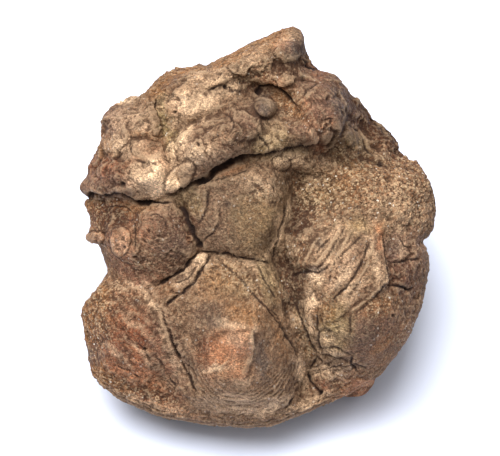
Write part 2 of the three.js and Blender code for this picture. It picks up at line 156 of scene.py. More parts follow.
# name: middle u, v; half sizes along and across; turn in degrees; height; flatness of the top
HILLS = {
    "upper mass": (-10, 27, 26, 13, 14, 4, 2), "upper left block": (-32, 24.5, 7.5, 7, 0, 4, 2.5),
    "left brow": (-32, 14, 9, 4.6, 5, 5, 2), "left cheek": (-24, 13.5, 4, 4.5, 0, 3.5, 1.2),
    "pale step": (-15.5, 31.5, 6, 2.8, 10, 2.5, 1.5), "centre hump": (-9.5, 22.5, 11, 5.2, 22, 5.5, 2),
    "hump top": (-6, 27, 7, 4, 10, 2, 1.5), "top hollow": (1.5, 35.2, 8, 3.2, -22, -6, 1),
    "ball cavity": (7, 31, 6, 4.5, -30, -3.5, 1.5), "ball": (2.5, 31, 2.7, 2.7, 0, 4.5, 2),
    "small plates": (11.5, 24.5, 5.5, 3, 0, 1.5, 2), "upper right block": (17.5, 31, 6.5, 9, -25, 6, 2.5),
    "right fall": (31, 25, 5.5, 12, 42, -3, 1.5), "right hollow": (26, 22, 5, 4, -40, -2, 1),
    "sandy shoulder": (35, 9, 10, 8, 0, 3, 2), "sandy hollow": (14, 9, 8, 7, 0, -4, 1.2),
    "centre plate": (-4.5, 6.5, 12, 11.5, -8, 3, 4), "left middle block": (-26, -1, 11, 8.5, 0, 4.5, 2),
    "rosette": (-34, -1.5, 2.8, 2.8, 0, 1.6, 2), "bump": (-26.8, 0, 2.6, 2.6, 0, 1.4, 1),
    "left waist": (-33, -13, 8, 4, -20, -1.5, 1), "boss": (-4.2, -27.5, 13.5, 15, 8, 11, 1.2),
    "boss tip": (-2.4, -25, 4.5, 5, 0, 3, 1.3), "boss foot": (-5, -39, 12, 5, 0, 2.5, 1.5),
    "lower left slab": (-31, -25.5, 11, 11, 0, 4, 2.5), "slab hollow": (-25, -36, 7, 4, -25, -1.5, 1),
    "right lobe": (25, -17, 13.5, 19, 22, 8.5, 1.7), "lobe cheek": (29.5, -26, 8, 7, 30, 2.5, 1.2),
    "lower nook": (16, -36, 6, 4, 10, -1.5, 1), "side block": (38, -6.5, 4.5, 7, 0, 2.5, 2),
}
# line, height, half width, steepness
FOLDS = [
    (TOP_RIDGE, 4, 3.5, 2), (VALLEY, -4.5, 3.2, 2), (GULLY, -2.2, 2.2, 2), (MAIN_CRACK, -1.2, 0.7, 1.5),
    (LEFT_CRACK, -0.9, 0.9, 1.5), (WEDGE_TOP, -0.8, 0.8, 1.5), (WEDGE_FOOT, -0.5, 0.6, 1.5),
    (PLATE_LEFT, -1.2, 1.4, 1.5), (PLATE_FOOT, -0.3, 0.6, 1.5),
]
# line, rise, reach, softness of the step
LEDGES = [
    (MAIN_CRACK, 2.4, 7, 0.3), (PLATE_SIDE, 2.6, 8, 1.1), (RIGHT_BREAK, 3, 6, 0.9),
    (RIB_EDGE, 1.4, 4, 0.5), (CENTRE_PLATE, 0.9, 14, 0.5), (FAN_EDGE, 1.2, 8, 0.8),
]
print(len(HILLS), "hills,", len(FOLDS), "folds and", len(LEDGES), "ledges")


# %% How each kind of form is worked out
def nearest(u, v, line):
    """Distance to a line of straight stretches, whether the place lies to its left, and the run to
    its nearer end. For each stretch the foot of the perpendicular is held between its two ends."""
    best = np.full(u.shape, np.inf)
    left = np.ones(u.shape, bool)
    run = np.zeros(u.shape)
    gone = 0.0
    for (au, av), (bu, bv) in zip(line[:-1], line[1:]):
        du, dv = bu - au, bv - av
        span = np.hypot(du, dv)
        t = np.clip(((u - au) * du + (v - av) * dv) / span**2, 0, 1)
        distance = np.hypot(u - au - t * du, v - av - t * dv)
        closer = distance < best
        best = np.where(closer, distance, best)
        left = np.where(closer, du * (v - av) - dv * (u - au) > 0, left)
        run = np.where(closer, gone + t * span, run)
        gone += span
    return best, left, np.minimum(run, gone - run)


def inside(u, v, loop):
    """Whether the place is inside a closed line: a ray to the right crosses it an odd number of times."""
    odd = np.zeros(u.shape, bool)
    for (au, av), (bu, bv) in zip(loop[:-1], loop[1:]):
        if av != bv:
            odd ^= ((av > v) != (bv > v)) & (u < au + (v - av) / (bv - av) * (bu - au))
    return odd


def ease(share):
    """0 at and below zero, 1 at and above one, with level ends: 3s^2 - 2s^3."""
    s = np.clip(share, 0, 1)
    return s * s * (3 - 2 * s)


def soft_step(beyond, edge):
    """1 well before a line and 0 well beyond it: 1 / (1 + exp(beyond / edge))."""
    return 1 / (1 + np.exp(np.clip(beyond / edge, -30, 30)))


def ellipse(u, v, cu, cv, half_u, half_v, turn):
    """How far a place is from an ellipse's middle: 0 in the middle and 1 on the ellipse."""
    c, s = np.cos(np.radians(turn)), np.sin(np.radians(turn))
    return np.hypot(((u - cu) * c + (v - cv) * s) / half_u, (-(u - cu) * s + (v - cv) * c) / half_v)


def relief(u, v):
    """Height of the face over its crown: hills as height * exp(-(r^2)^flat), folds as
    height * exp(-(d / half)^steep), and ledges as a soft step times exp(-(d / reach)^2)."""
    total = np.zeros(u.shape)
    for cu, cv, half_u, half_v, turn, height, flat in HILLS.values():
        total += height * np.exp(-(ellipse(u, v, cu, cv, half_u, half_v, turn) ** (2 * flat)))
    for line, height, half, steep in FOLDS:
        total += height * np.exp(-((nearest(u, v, line)[0] / half) ** steep))
    for line, rise, reach, edge in LEDGES:
        distance, left, to_end = nearest(u, v, line)
        closed = line[0] == line[-1]
        high = inside(u, v, line) if closed else left
        share = 1.0 if closed else ease(to_end / TAPER)
        step = soft_step(np.where(high, -distance, distance), edge)
        total += rise * share * step * np.exp(-((distance / reach) ** 2))
    return total


print("relief in the middle of the face, in mm:", np.round(relief(np.zeros(1), np.zeros(1)), 2))

# %% [markdown]
# ## The broken sides and back
#
# The sides and the back are breaks: a hammer or the frost has knocked the lump out of its bed. Each
# break is a flat cut with a rounded edge, and knobs and scars are left between them. They are made in
# the same order as on the real lump: first the whole body, then the cuts, then the lumps.

# %% Breaks and knobs
# the direction u, v, w that a break looks in, its distance from the middle, the rounding of its edges
BREAKS = [
    (-0.85, -0.1, 0.52, 39, 1.5), (0.62, 0.35, -0.7, 43, 3), (-0.5, 0.55, -0.67, 42, 3),
    (-0.8, -0.3, -0.5, 42, 3), (0.75, -0.3, -0.6, 42, 3), (0, 0.83, -0.56, 45.5, 3),
    (0.3, -0.8, -0.5, 42, 4), (0.9, 0.35, -0.25, 44, 2), (-0.9, 0.35, -0.35, 42, 2),
]
# middle u, v, w; radius; height
KNOBS = [
    (-30, 30, -22, 9, 2.5), (8, 42, -28, 10, -2.5), (30, 26, -24, 9, 2.5), (-16, 38, -36, 8, 2.5),
    (38, -8, -16, 8, 2), (-40, -24, -12, 8, -2), (-38, 8, -18, 9, 2.5), (20, 34, -44, 9, 2.5),
    (-8, 44, -14, 7, 2), (22, -38, -8, 8, 1.5), (-20, -40, -8, 9, 1.5), (40, 10, -26, 8, -2),
    (-28, 14, -40, 9, -2), (27, -40, -7, 6, 5.5),
]


def above(value, rounding):
    """The part of a value above zero, with a rounded bend instead of a corner."""
    bend = (value + rounding) ** 2 / (4 * rounding)
    return np.where(value > rounding, value, np.where(value < -rounding, 0, bend))


print(len(BREAKS), "breaks and", len(KNOBS), "knobs and scars")

# %% The outline as a curve
order = np.argsort(np.arctan2(OUTLINE[:, 1], OUTLINE[:, 0]) % FULL_TURN)
ray_turn = (np.arctan2(OUTLINE[:, 1], OUTLINE[:, 0]) % FULL_TURN)[order]
ray_radius = np.hypot(OUTLINE[:, 0], OUTLINE[:, 1])[order]
ray_turn = np.concatenate([ray_turn[-2:] - FULL_TURN, ray_turn, ray_turn[:2] + FULL_TURN])
ray_radius = np.concatenate([ray_radius[-2:], ray_radius, ray_radius[:2]])
ray_slope = np.gradient(ray_radius)
ray_slope[1:-1] = (ray_radius[2:] - ray_radius[:-2]) / (ray_turn[2:] - ray_turn[:-2])


def outline_radius(direction):
    """Radius of the outline in a direction: a cubic through its points."""
    turn = direction % FULL_TURN
    a = np.searchsorted(ray_turn, turn, side="right") - 1
    span = ray_turn[a + 1] - ray_turn[a]
    t = (turn - ray_turn[a]) / span
    bend = (1 - t) * ray_slope[a] - t * ray_slope[a + 1]
    return ray_radius[a] + (ray_radius[a + 1] - ray_radius[a]) * ease(t) + bend * span * t * (1 - t)


def calm_radius(direction):
    """The outline averaged over its neighbourhood, for the ground inside the rim."""
    steps = np.arange(-CALM_SIDES, CALM_SIDES + 1)
    weights = np.cos(steps / (CALM_SIDES + 1) * np.pi / 2) ** 2
    total = sum(k * outline_radius(direction + CALM_STEP * step) for k, step in zip(weights, steps))
    return total / weights.sum()


print("the rim's distance from the middle, in mm:", np.round([ray_radius.min(), ray_radius.max()], 1))


# %% The whole surface
def lumps(u, v, w):
    """Coarse lumps of 8 to 15 mm: two products of waves that bend each other."""
    first = np.sin(u / 2.1 + 0.7 * np.sin(v / 3.1)) * np.sin(v / 2.5 + 1.3 + 0.6 * np.sin(w / 2.9))
    second = np.sin(v / 1.7 + 0.8 * np.sin(w / 2.3)) * np.sin(w / 2.2 + 0.4 + 0.7 * np.sin(u / 3.3))
    return first + second


def surface(direction, latitude):
    """The lump in face coordinates, one row a point. The latitude is 1 in the middle of the face, 0 on
    the rim and -1 in the middle of the back; the section is a superellipse."""
    front = latitude >= 0
    power = 2 / np.where(front, FRONT_SQUARE, BACK_SQUARE)
    polar = (1 - np.abs(latitude)) * np.pi / 2
    out = np.sin(polar) ** power
    bulge = np.where(np.abs(latitude) < 1e-9, 0, np.abs(np.cos(polar)) ** power)
    calm = calm_radius(direction)
    radius = (calm + (outline_radius(direction) - calm) * out**RIM_SHARPNESS) * out
    u, v = radius * np.cos(direction), radius * np.sin(direction)
    off = (direction - FALL_TURN + np.pi) % FULL_TURN - np.pi
    rim = (-RIM_DEPTH - RIM_LEAN * v - FALL_DEPTH * np.exp(-((off / FALL_HALF) ** 2))) * out**2
    shown = np.where(front, ease(bulge / RELIEF_FADE), 0)
    level = rim + np.where(front, CROWN, -BELLY) * bulge
    w = level + relief(u, v) * shown
    w = level + relief(*as_seen(u, v, w)) * shown
    point = np.stack([u, v, w], 1)
    for *looks, distance, rounding in BREAKS:
        normal = np.array(looks) / np.linalg.norm(looks)
        point -= above(point @ normal - distance, rounding)[:, None] * normal
    push = LUMP_HEIGHT * lumps(*point.T) * (1 - (1 - LUMP_SHARE) * shown)
    for *middle, radius, height in KNOBS:
        near = np.linalg.norm(point - middle, axis=1) / radius
        push += height * np.exp(-(near**3)) * (1 - shown)
    push *= 1 - np.exp(-((latitude / RIM_GUARD) ** 2))
    from_hub = point + (0, 0, HUB_DEPTH)
    return point + from_hub / np.linalg.norm(from_hub, axis=1)[:, None] * push[:, None]


middles = surface(np.zeros(2), np.array([1.0, -1.0]))
print("middle of the face and of the back, in mm:", np.round(middles, 1).tolist())

# %% [markdown]
# ## A mesh with even facets
#
# A grid of meridians would crowd in the middle of the face and gape at the rim. Here each ring has as
# many points as its length takes, so that a facet is about 0.3 mm wide everywhere on the face: about
# one sand grain. Two neighbouring rings are joined point by point. On the back, where there are no
# cracks to hold, the facets are three times as wide.

# %% How rings are spaced and joined
# width of a facet in mm, and the number of rings, on the face and on the back
FRONT_FACET, FRONT_RINGS = 0.311, 151
BACK_FACET, BACK_RINGS = 0.88, 86
FEWEST = 6  # points on the innermost rings


def ring_latitudes(amount, square):
    """Latitudes from the middle to the rim: 1 - s^(square / 2) for even steps of s."""
    return 1 - (np.arange(1, amount + 1) / amount) ** (square / 2)


def ring_counts(latitudes, square, facet):
    """How many points each ring takes: its length over the facet's width."""
    out = np.sin((1 - latitudes) * np.pi / 2) ** (2 / square)
    return np.maximum(FEWEST, np.round(FULL_TURN * MEAN_RADIUS * out / facet)).astype(int)


def stitch(outer_first, outer_count, inner_first, inner_count):
    """Triangles between a ring and the next one inward, which has as many points or fewer: each
    point of the outer ring looks to the inner one beside it, floor((j + 1/2) * inner / outer + 1/2)."""
    j = np.arange(outer_count)
    beside, before = (
        np.floor((j + half) * inner_count / outer_count + 0.5).astype(int) for half in (0.5, -0.5)
    )
    turns = (beside != before) & (inner_count > 1)
    here, onward = outer_first + j, outer_first + (j + 1) % outer_count
    beside, before = inner_first + beside % inner_count, inner_first + before % inner_count
    return np.concatenate([
        np.stack([here, onward, beside], 1), np.stack([here, beside, before], 1)[turns],
    ])


print("triangles between a ring of 12 points and one of 6:", len(stitch(6, 12, 0, 6)))

# %% Points and triangles
front = ring_latitudes(FRONT_RINGS, FRONT_SQUARE)
back = ring_latitudes(BACK_RINGS, BACK_SQUARE)
latitudes = np.concatenate([[1], front, -back[-2::-1], [-1]])
counts = np.concatenate([
    [1], ring_counts(front, FRONT_SQUARE, FRONT_FACET),
    ring_counts(back, BACK_SQUARE, BACK_FACET)[-2::-1], [1],
])
firsts = np.concatenate([[0], np.cumsum(counts)[:-1]])
latitude = np.repeat(latitudes, counts)
direction = np.concatenate([np.arange(n) * FULL_TURN / n for n in counts])
faces = []
for i in range(len(counts) - 1):
    if i < FRONT_RINGS:
        faces.append(stitch(firsts[i + 1], counts[i + 1], firsts[i], counts[i]))
    else:
        faces.append(stitch(firsts[i], counts[i], firsts[i + 1], counts[i + 1])[:, ::-1])
faces = np.concatenate(faces)
point = surface(direction, latitude)
print("points:", len(point), "triangles:", len(faces))


# %% Normals of a mesh
def normals_of(points):
    """Unit normals at the points: the sum of the areas of the triangles round each."""
    a, b, c = (points[faces[:, k]] for k in range(3))
    area = np.cross(b - a, c - a)
    total = np.zeros(points.shape)
    for k in range(3):
        for axis in range(3):
            total[:, axis] += np.bincount(faces[:, k], area[:, axis], len(points))
    return total / np.maximum(np.linalg.norm(total, axis=1), 1e-12)[:, None]


print("the middle of the back looks along u, v, w:", np.round(normals_of(point)[-1], 2))

# %% [markdown]
# ## Noise that stays the same
#
# Stone needs irregularity, and the same irregularity on every run. Both noises below take their
# chance from a fixed mixing of whole numbers. The first is smooth noise: each corner of a cubic grid
# has a slope, and the slopes are blended. The second scatters one seed in each cube and measures how
# far it is, which gives grains, pits and crumbs.

# %% Smooth noise
SLOPES = np.array([
    (1, 1, 0), (-1, 1, 0), (1, -1, 0), (-1, -1, 0), (1, 0, 1), (-1, 0, 1), (1, 0, -1), (-1, 0, -1),
    (0, 1, 1), (0, -1, 1), (0, 1, -1), (0, -1, -1), (1, 1, 0), (-1, 1, 0), (0, -1, 1), (0, -1, -1),
], float)


def chance(cell, seed):
    """A whole number up to 2^32 for each cube of the grid, mixed from its three counts."""
    x, y, z = (cell[:, k].astype(np.uint32) for k in range(3))
    mixed = x * np.uint32(374761393) + y * np.uint32(668265263) + z * np.uint32(2246822519)
    mixed = mixed + np.uint32(seed * 974634777 % 2**32)
    mixed = (mixed ^ (mixed >> np.uint32(13))) * np.uint32(1274126177)
    mixed = (mixed ^ (mixed >> np.uint32(16))) * np.uint32(2654435761)
    return mixed ^ (mixed >> np.uint32(15))


def smooth_noise(places, size, seed):
    """Smooth noise between about -1 and 1 with bumps of the given size."""
    scaled = places / size
    cell = np.floor(scaled).astype(np.int64)
    part = scaled - cell
    blend = part**3 * (part * (part * 6 - 15) + 10)
    total = np.zeros(len(places))
    for corner in np.ndindex(2, 2, 2):
        slope = SLOPES[chance(cell + corner, seed) & np.uint32(15)]
        weight = np.prod(np.where(corner, blend, 1 - blend), axis=1)
        total += weight * np.einsum("ij,ij->i", slope, part - corner)
    return total * 1.2


def layered_noise(places, size, seed, layers=4, billow=False):
    """Layers of smooth noise, each half as large and half as strong; billow folds them at zero."""
    total = np.zeros(len(places))
    for k in range(layers):
        layer = smooth_noise(places, size / 2**k, seed + k)
        total += (np.abs(layer) * 2 - 0.6 if billow else layer) / 2**k
    return total


print("smooth noise at the first points:", np.round(smooth_noise(point[:4], 3.0, 1), 3))


# %% Scattered seeds
def grains(places, size, seed):
    """For scattered seeds of about the given spacing: the distance to the nearest, to the second, the
    nearest one's own chance between 0 and 1, and how far the place lies along that seed's own slope."""
    scaled = places / size
    cell = np.floor(scaled).astype(np.int64)
    first = np.full(len(places), 9.0)
    second = np.full(len(places), 9.0)
    own = np.zeros(len(places))
    tilt = np.zeros(len(places))
    for offset in np.ndindex(3, 3, 3):
        cube = cell + offset - 1
        mixed = chance(cube, seed)
        spot = np.stack([(mixed >> np.uint32(shift)) & np.uint32(1023) for shift in (0, 10, 20)], 1)
        away = scaled - cube - spot / 1023
        distance = np.linalg.norm(away, axis=1)
        closer = distance < first
        second = np.where(closer, first, np.minimum(second, distance))
        own = np.where(closer, (mixed >> np.uint32(5)) % np.uint32(997) / 997, own)
        along = np.einsum("ij,ij->i", away, SLOPES[(mixed >> np.uint32(7)) & np.uint32(15)])
        tilt = np.where(closer, along, tilt)
        first = np.where(closer, distance, first)
    return first, second, own, tilt


print("the first points' nearest seeds, in spacings:", np.round(grains(point[:4], 3.0, 1)[0], 2))

# %% [markdown]
# ## Cracks, ribs and small plates
#
# These are the marks that only a fine mesh can hold. The plates are chalk, brittle, so the cracks
# through them are thin and clean. The ribs on the right lobe are the worn edges of growth layers. The
# crumbs between the plates are sand grains and broken stem pieces, glued by lime and a little iron.
# Each mark is a line or an ellipse in the plane of the face, in millimetres, where an eye over the
# face sees it.

# %% Cracks
# half width, depth, line
CRACKS = [
    (0.34, 1.1, [(-20, 10.3), (-17.5, 11.3), (-15.2, 12.4)]),
    (0.46, 1.6, [(-15.6, 12.2), (-12.2, 13.1), (-10.2, 14.8), (-7.2, 16.4), (-4.3, 18), (-2.2, 18.6)]),
    (0.28, 0.55, [(-4, 18.6), (0, 18.9), (4, 19.8), (8, 20.6), (11, 21.3), (14, 21.6), (15.5, 22.5)]),
    (0.2, 0.2, [(-12, 12.6), (-9, 13.2), (-5.6, 14), (-2.6, 15), (-0.6, 15.8)]),
    (0.32, 0.8, [(-42, 9.3), (-36, 9.2), (-33.5, 9.7), (-31.5, 8.5), (-29.5, 7.4), (-25, 7.4),
        (-21, 7.4)]),
    (0.25, 0.3, [(-12.5, 12), (-11.9, 9.5), (-12, 6), (-13.2, 3.2), (-15, 1.3)]),
    (0.25, 0.28, [(-8.7, 6), (-9, 2), (-10.3, 0), (-12, -1.6), (-13.3, -2.6)]),
    (0.22, 0.5, [(-14, -4.7), (-10, -5.2), (-5, -6), (0, -7), (4, -8)]),
    (0.45, 0.6, [(-19, 7), (-17.5, 4.5), (-16.3, 1.5), (-15.2, -1), (-13.6, -3.4)]),
    (0.28, 0.7, [(-14, -5), (-16, -7), (-18, -9.4), (-20.5, -11), (-22.5, -12.4), (-24.5, -13.4)]),
    (0.28, 0.7, [(-11, -6), (-13, -8.6), (-14.5, -11.5), (-16.5, -13.6), (-18.5, -15.4), (-21.6, -17.4),
        (-22, -18.6)]),
    (0.2, 0.3, [(-21.5, -14.6), (-19.5, -15.2), (-17.6, -14.8)]),
    (0.2, 0.3, [(-20.6, -12.6), (-18.4, -12.4), (-16.2, -11), (-15, -9.4)]),
    (0.25, 0.2, [(-10, -6), (-7, -9), (-4, -11.4), (-2, -13.6), (-0.6, -15.2)]),
    (0.22, 0.6, [(-23.4, -19.4), (-22.6, -21.6), (-21.8, -24)]),
    (0.34, 1.0, [(-21.8, -24), (-20.6, -27.4), (-19.4, -30), (-18.4, -32)]),
    (0.22, 0.7, [(-18.4, -32), (-16.8, -35.8), (-14.8, -39.6)]),
    (0.22, 0.4, [(-22, -35.6), (-20.8, -37.2), (-19.4, -38.8)]),
    (0.2, 0.3, [(-24.6, -31), (-23.4, -33), (-22.6, -33.4)]),
    (0.24, 0.3, [(7.8, 7), (6.8, 2.5), (5.8, -1), (5, -4.5), (4.4, -7.5)]),
    (0.25, 0.2, [(0.5, -8), (2, -11), (3.6, -13.6), (5.4, -16.6)]),
    (0.25, 0.25, [(-3, -12.8), (0, -16), (3, -19), (5.4, -22.2), (8, -26), (10.4, -29.6)]),
    (0.2, 0.2, [(4, -19), (7, -24), (9.4, -28), (11.2, -32.6)]),
    (0.22, 0.4, [(10, -17.6), (11.4, -21.5), (12.6, -25), (14, -28), (15.9, -30.8)]),
    (0.27, 0.24, [(22.6, 1.2), (19.3, -4.4), (17, -7.6), (14.8, -9.9)]),
    (0.26, 0.24, [(19, -0.8), (16.4, -3.4), (14.8, -6)]),
    (0.28, 0.36, [(28.9, -2.1), (27.7, -5.2), (26.5, -8.1), (24.8, -11), (22.6, -14), (20.8, -15.6),
        (19, -17)]),
    (0.26, 0.26, [(19.3, -7.2), (17.6, -9), (15.7, -10.3), (13.6, -10), (11, -10.3), (8, -11.3)]),
    (0.25, 0.18, [(18.8, -13), (18.8, -10.1), (20.2, -7.2), (22.3, -5.2), (24.3, -3.2), (27.1, -0.6)]),
    (0.2, 0.3, [(33.2, -12.6), (29.6, -16.8), (25, -20.4)]),
    (0.28, 0.6, [(32, -0.6), (32.5, -5), (32.8, -9), (33.4, -13.2)]),
    (0.26, 0.26, [(24, -20), (23.7, -22.6), (23.8, -26)]),
    (0.28, 0.5, [(33, -7), (35.6, -7.3), (38.2, -7), (41, -6.6)]),
    (0.3, 0.8, [(33.6, -13.3), (36.8, -13.6), (38.4, -14.6), (40, -14)]),
    (0.2, 0.3, [(36, -1), (37.4, -3.4), (40, -4)]),
    (0.26, 0.3, [(15.5, -20), (15.7, -25), (16, -30.4)]),
    (0.2, 0.25, [(16, -24.8), (18, -25), (20, -24.4)]),
    (0.2, 0.25, [(20, -23), (21.2, -21.4), (22.8, -20.2)]),
    (0.26, 0.26, [(16.1, -29.4), (17.7, -28.8), (19.7, -28.8), (21.3, -29.3), (22.6, -30.2),
        (24, -31.4)]),
    (0.26, 0.24, [(15.8, -30.4), (17.7, -30.7), (19.7, -31), (22, -31.8), (24, -33)]),
    (0.22, 0.2, [(17.9, -28.7), (17.6, -30.8)]),
    (0.22, 0.2, [(19.4, -28.6), (19.3, -31.1)]),
    (0.22, 0.2, [(21, -29), (20.9, -31.5)]),
    (0.3, 0.5, [(24.4, -30.6), (24.1, -32), (24, -33.1), (25, -34.2), (26, -35.6)]),
    (0.25, 0.24, [(24, -33), (26, -33.5), (28.4, -34.3)]),
    (0.26, 0.3, [(15.9, -30.4), (14.9, -32.3), (13.4, -34.8)]),
    (0.25, 0.24, [(15.8, -30.8), (16.8, -32.5), (15.4, -33.5), (14, -34.3)]),
    (0.24, 0.2, [(14, -34.6), (16.8, -34.6), (19, -34.1), (22.8, -33.5), (24, -33.2)]),
    (0.22, 0.2, [(16.8, -32.5), (18.2, -33.6), (17.2, -34.5)]),
    (0.22, 0.2, [(14.2, -35.8), (17, -34.6)]),
    (0.3, 0.5, [(13.4, -34.8), (13.8, -37.2), (15, -38.8), (16.4, -40.4)]),
    (0.24, 0.4, [(10.2, -40.6), (9.4, -42.4), (7.8, -44)]),
    (0.24, 0.4, [(-12, 35.4), (-9, 36.7), (-7, 36.6), (-5, 35.4), (-2.6, 35.4)]),
    (0.2, 0.3, [(-7.6, 30), (-6.2, 29), (-5.3, 27.5), (-5.4, 26), (-6, 24.8)]),
    (0.24, 0.4, [(-24.5, 33.4), (-25, 31), (-24.4, 29.4), (-23.8, 25.8), (-24.8, 24)]),
    (0.22, 0.3, [(-30.8, 18), (-28.6, 17.6), (-26.4, 17.2), (-24, 16.2)]),
    (0.2, 0.25, [(-36.2, 17.2), (-35.4, 18.6), (-33.8, 19.6), (-32.8, 19.9)]),
    (0.2, 0.25, [(-31.8, 24), (-31.4, 21.4), (-30.4, 19)]),
    (0.32, 0.6, [(0, 35.2), (1.4, 36.4), (3.4, 36.5), (5.6, 35.9), (7.6, 34.4), (9.4, 32.6), (11, 31.4)]),
    (0.24, 0.4, [(-0.4, 31.4), (0.2, 29.4), (2, 28.2), (4, 28.4)]),
    (0.24, 0.4, [(16, 38), (14.4, 36.4), (12.8, 35.4), (12, 33.6)]),
    (0.2, 0.3, [(16.4, 25.8), (18, 26.8), (19.2, 28.4), (17.6, 28.2), (16.2, 27)]),
    (0.3, 0.5, [(10.6, 43.4), (12, 43.2), (13.4, 41.6), (15.6, 40.4)]),
    (0.2, 0.3, [(-38.2, 6), (-35, 6.6), (-32, 6.2), (-30.6, 5)]),
    (0.2, 0.25, [(-30, 3), (-30.2, 0), (-29.9, -2.6), (-29.8, -4.8)]),
    (0.22, 0.35, [(-0.6, 26.2), (1.4, 24), (3.4, 21.4), (3.4, 19.8)]),
    (0.24, 0.4, [(23.6, 27), (25.4, 25), (27.4, 21.6), (29.6, 18.8)]),
    (0.2, 0.2, [(-27, 3.6), (-24.6, 4.4), (-22.6, 3), (-22, 0.6)]),
    (0.2, 0.25, [(-35, -33.4), (-31.6, -34.6), (-28, -36.8)]),
    (0.28, 0.08, [(-33.6, 1.8), (-31.6, 0.6), (-30.9, -2.3), (-31.7, -5), (-33.6, -6.4), (-35.6, -5.2),
        (-36.3, -2.3), (-35.5, 0.6), (-33.9, 1.7)]),
    (0.2, 0.25, [(-29.4, -27.4), (-27.4, -29.8), (-26, -32.6)]),
]
print(len(CRACKS), "cracks")

# %% Ridges and small scarps
# ridges: half width, height, line
SEAMS = [
    (0.3, 0.36, [(16.6, 0.3), (15.6, -1.4), (14.1, -3.7), (12.9, -6.6), (12.3, -9.3)]),
    (0.32, 0.44, [(21.9, 2.6), (21.3, 0.9), (18.2, -4.2), (16, -7.2), (14.1, -9.3)]),
    (0.34, 0.42, [(25.4, 2.6), (24.4, 0.9), (21.3, -4.7), (19.6, -8), (17.7, -10.8)]),
    (0.28, 0.3, [(23.4, 1.8), (20.4, -3), (18.2, -6.8), (16.4, -9)]),
    (0.32, 0.34, [(30, -1.2), (29, -5.2), (27.6, -8.9), (25.9, -11.9), (23.5, -14.9), (21.3, -17)]),
    (0.34, 0.42, [(32.6, -11.9), (29, -16), (24.4, -19.6), (22.3, -21.1)]),
    (0.4, 0.4, [(-13.2, -36), (-9.8, -34.4), (-6.8, -32.4), (-5, -31.8)]),
    (0.35, 0.35, [(-0.8, -24.1), (-0.5, -26.9), (-0.8, -30.9), (-1.6, -34)]),
    (0.4, 0.4, [(2.2, 37.4), (4.6, 37.4), (7, 36.4)]),
    (0.4, 0.45, [(25.4, 26.6), (27.2, 23.6), (30, 19.6)]),
    (0.6, 0.5, [(-20.4, 19.6), (-19.4, 22.4), (-17.6, 24.6), (-15, 26.4)]),
    (0.4, 0.3, [(-21.8, 15.4), (-20, 16.8), (-17, 17.6)]),
    (0.5, 0.4, [(10.6, -38.8), (8, -42.6), (5, -45)]),
    (0.4, 0.25, [(-27, -14.4), (-25.4, -17.4), (-24.2, -20), (-22.4, -24.6), (-20.2, -30)]),
    (0.4, 0.3, [(22.4, 36.6), (25.6, 33), (29, 29), (33, 24.6), (35.4, 21.4)]),
]
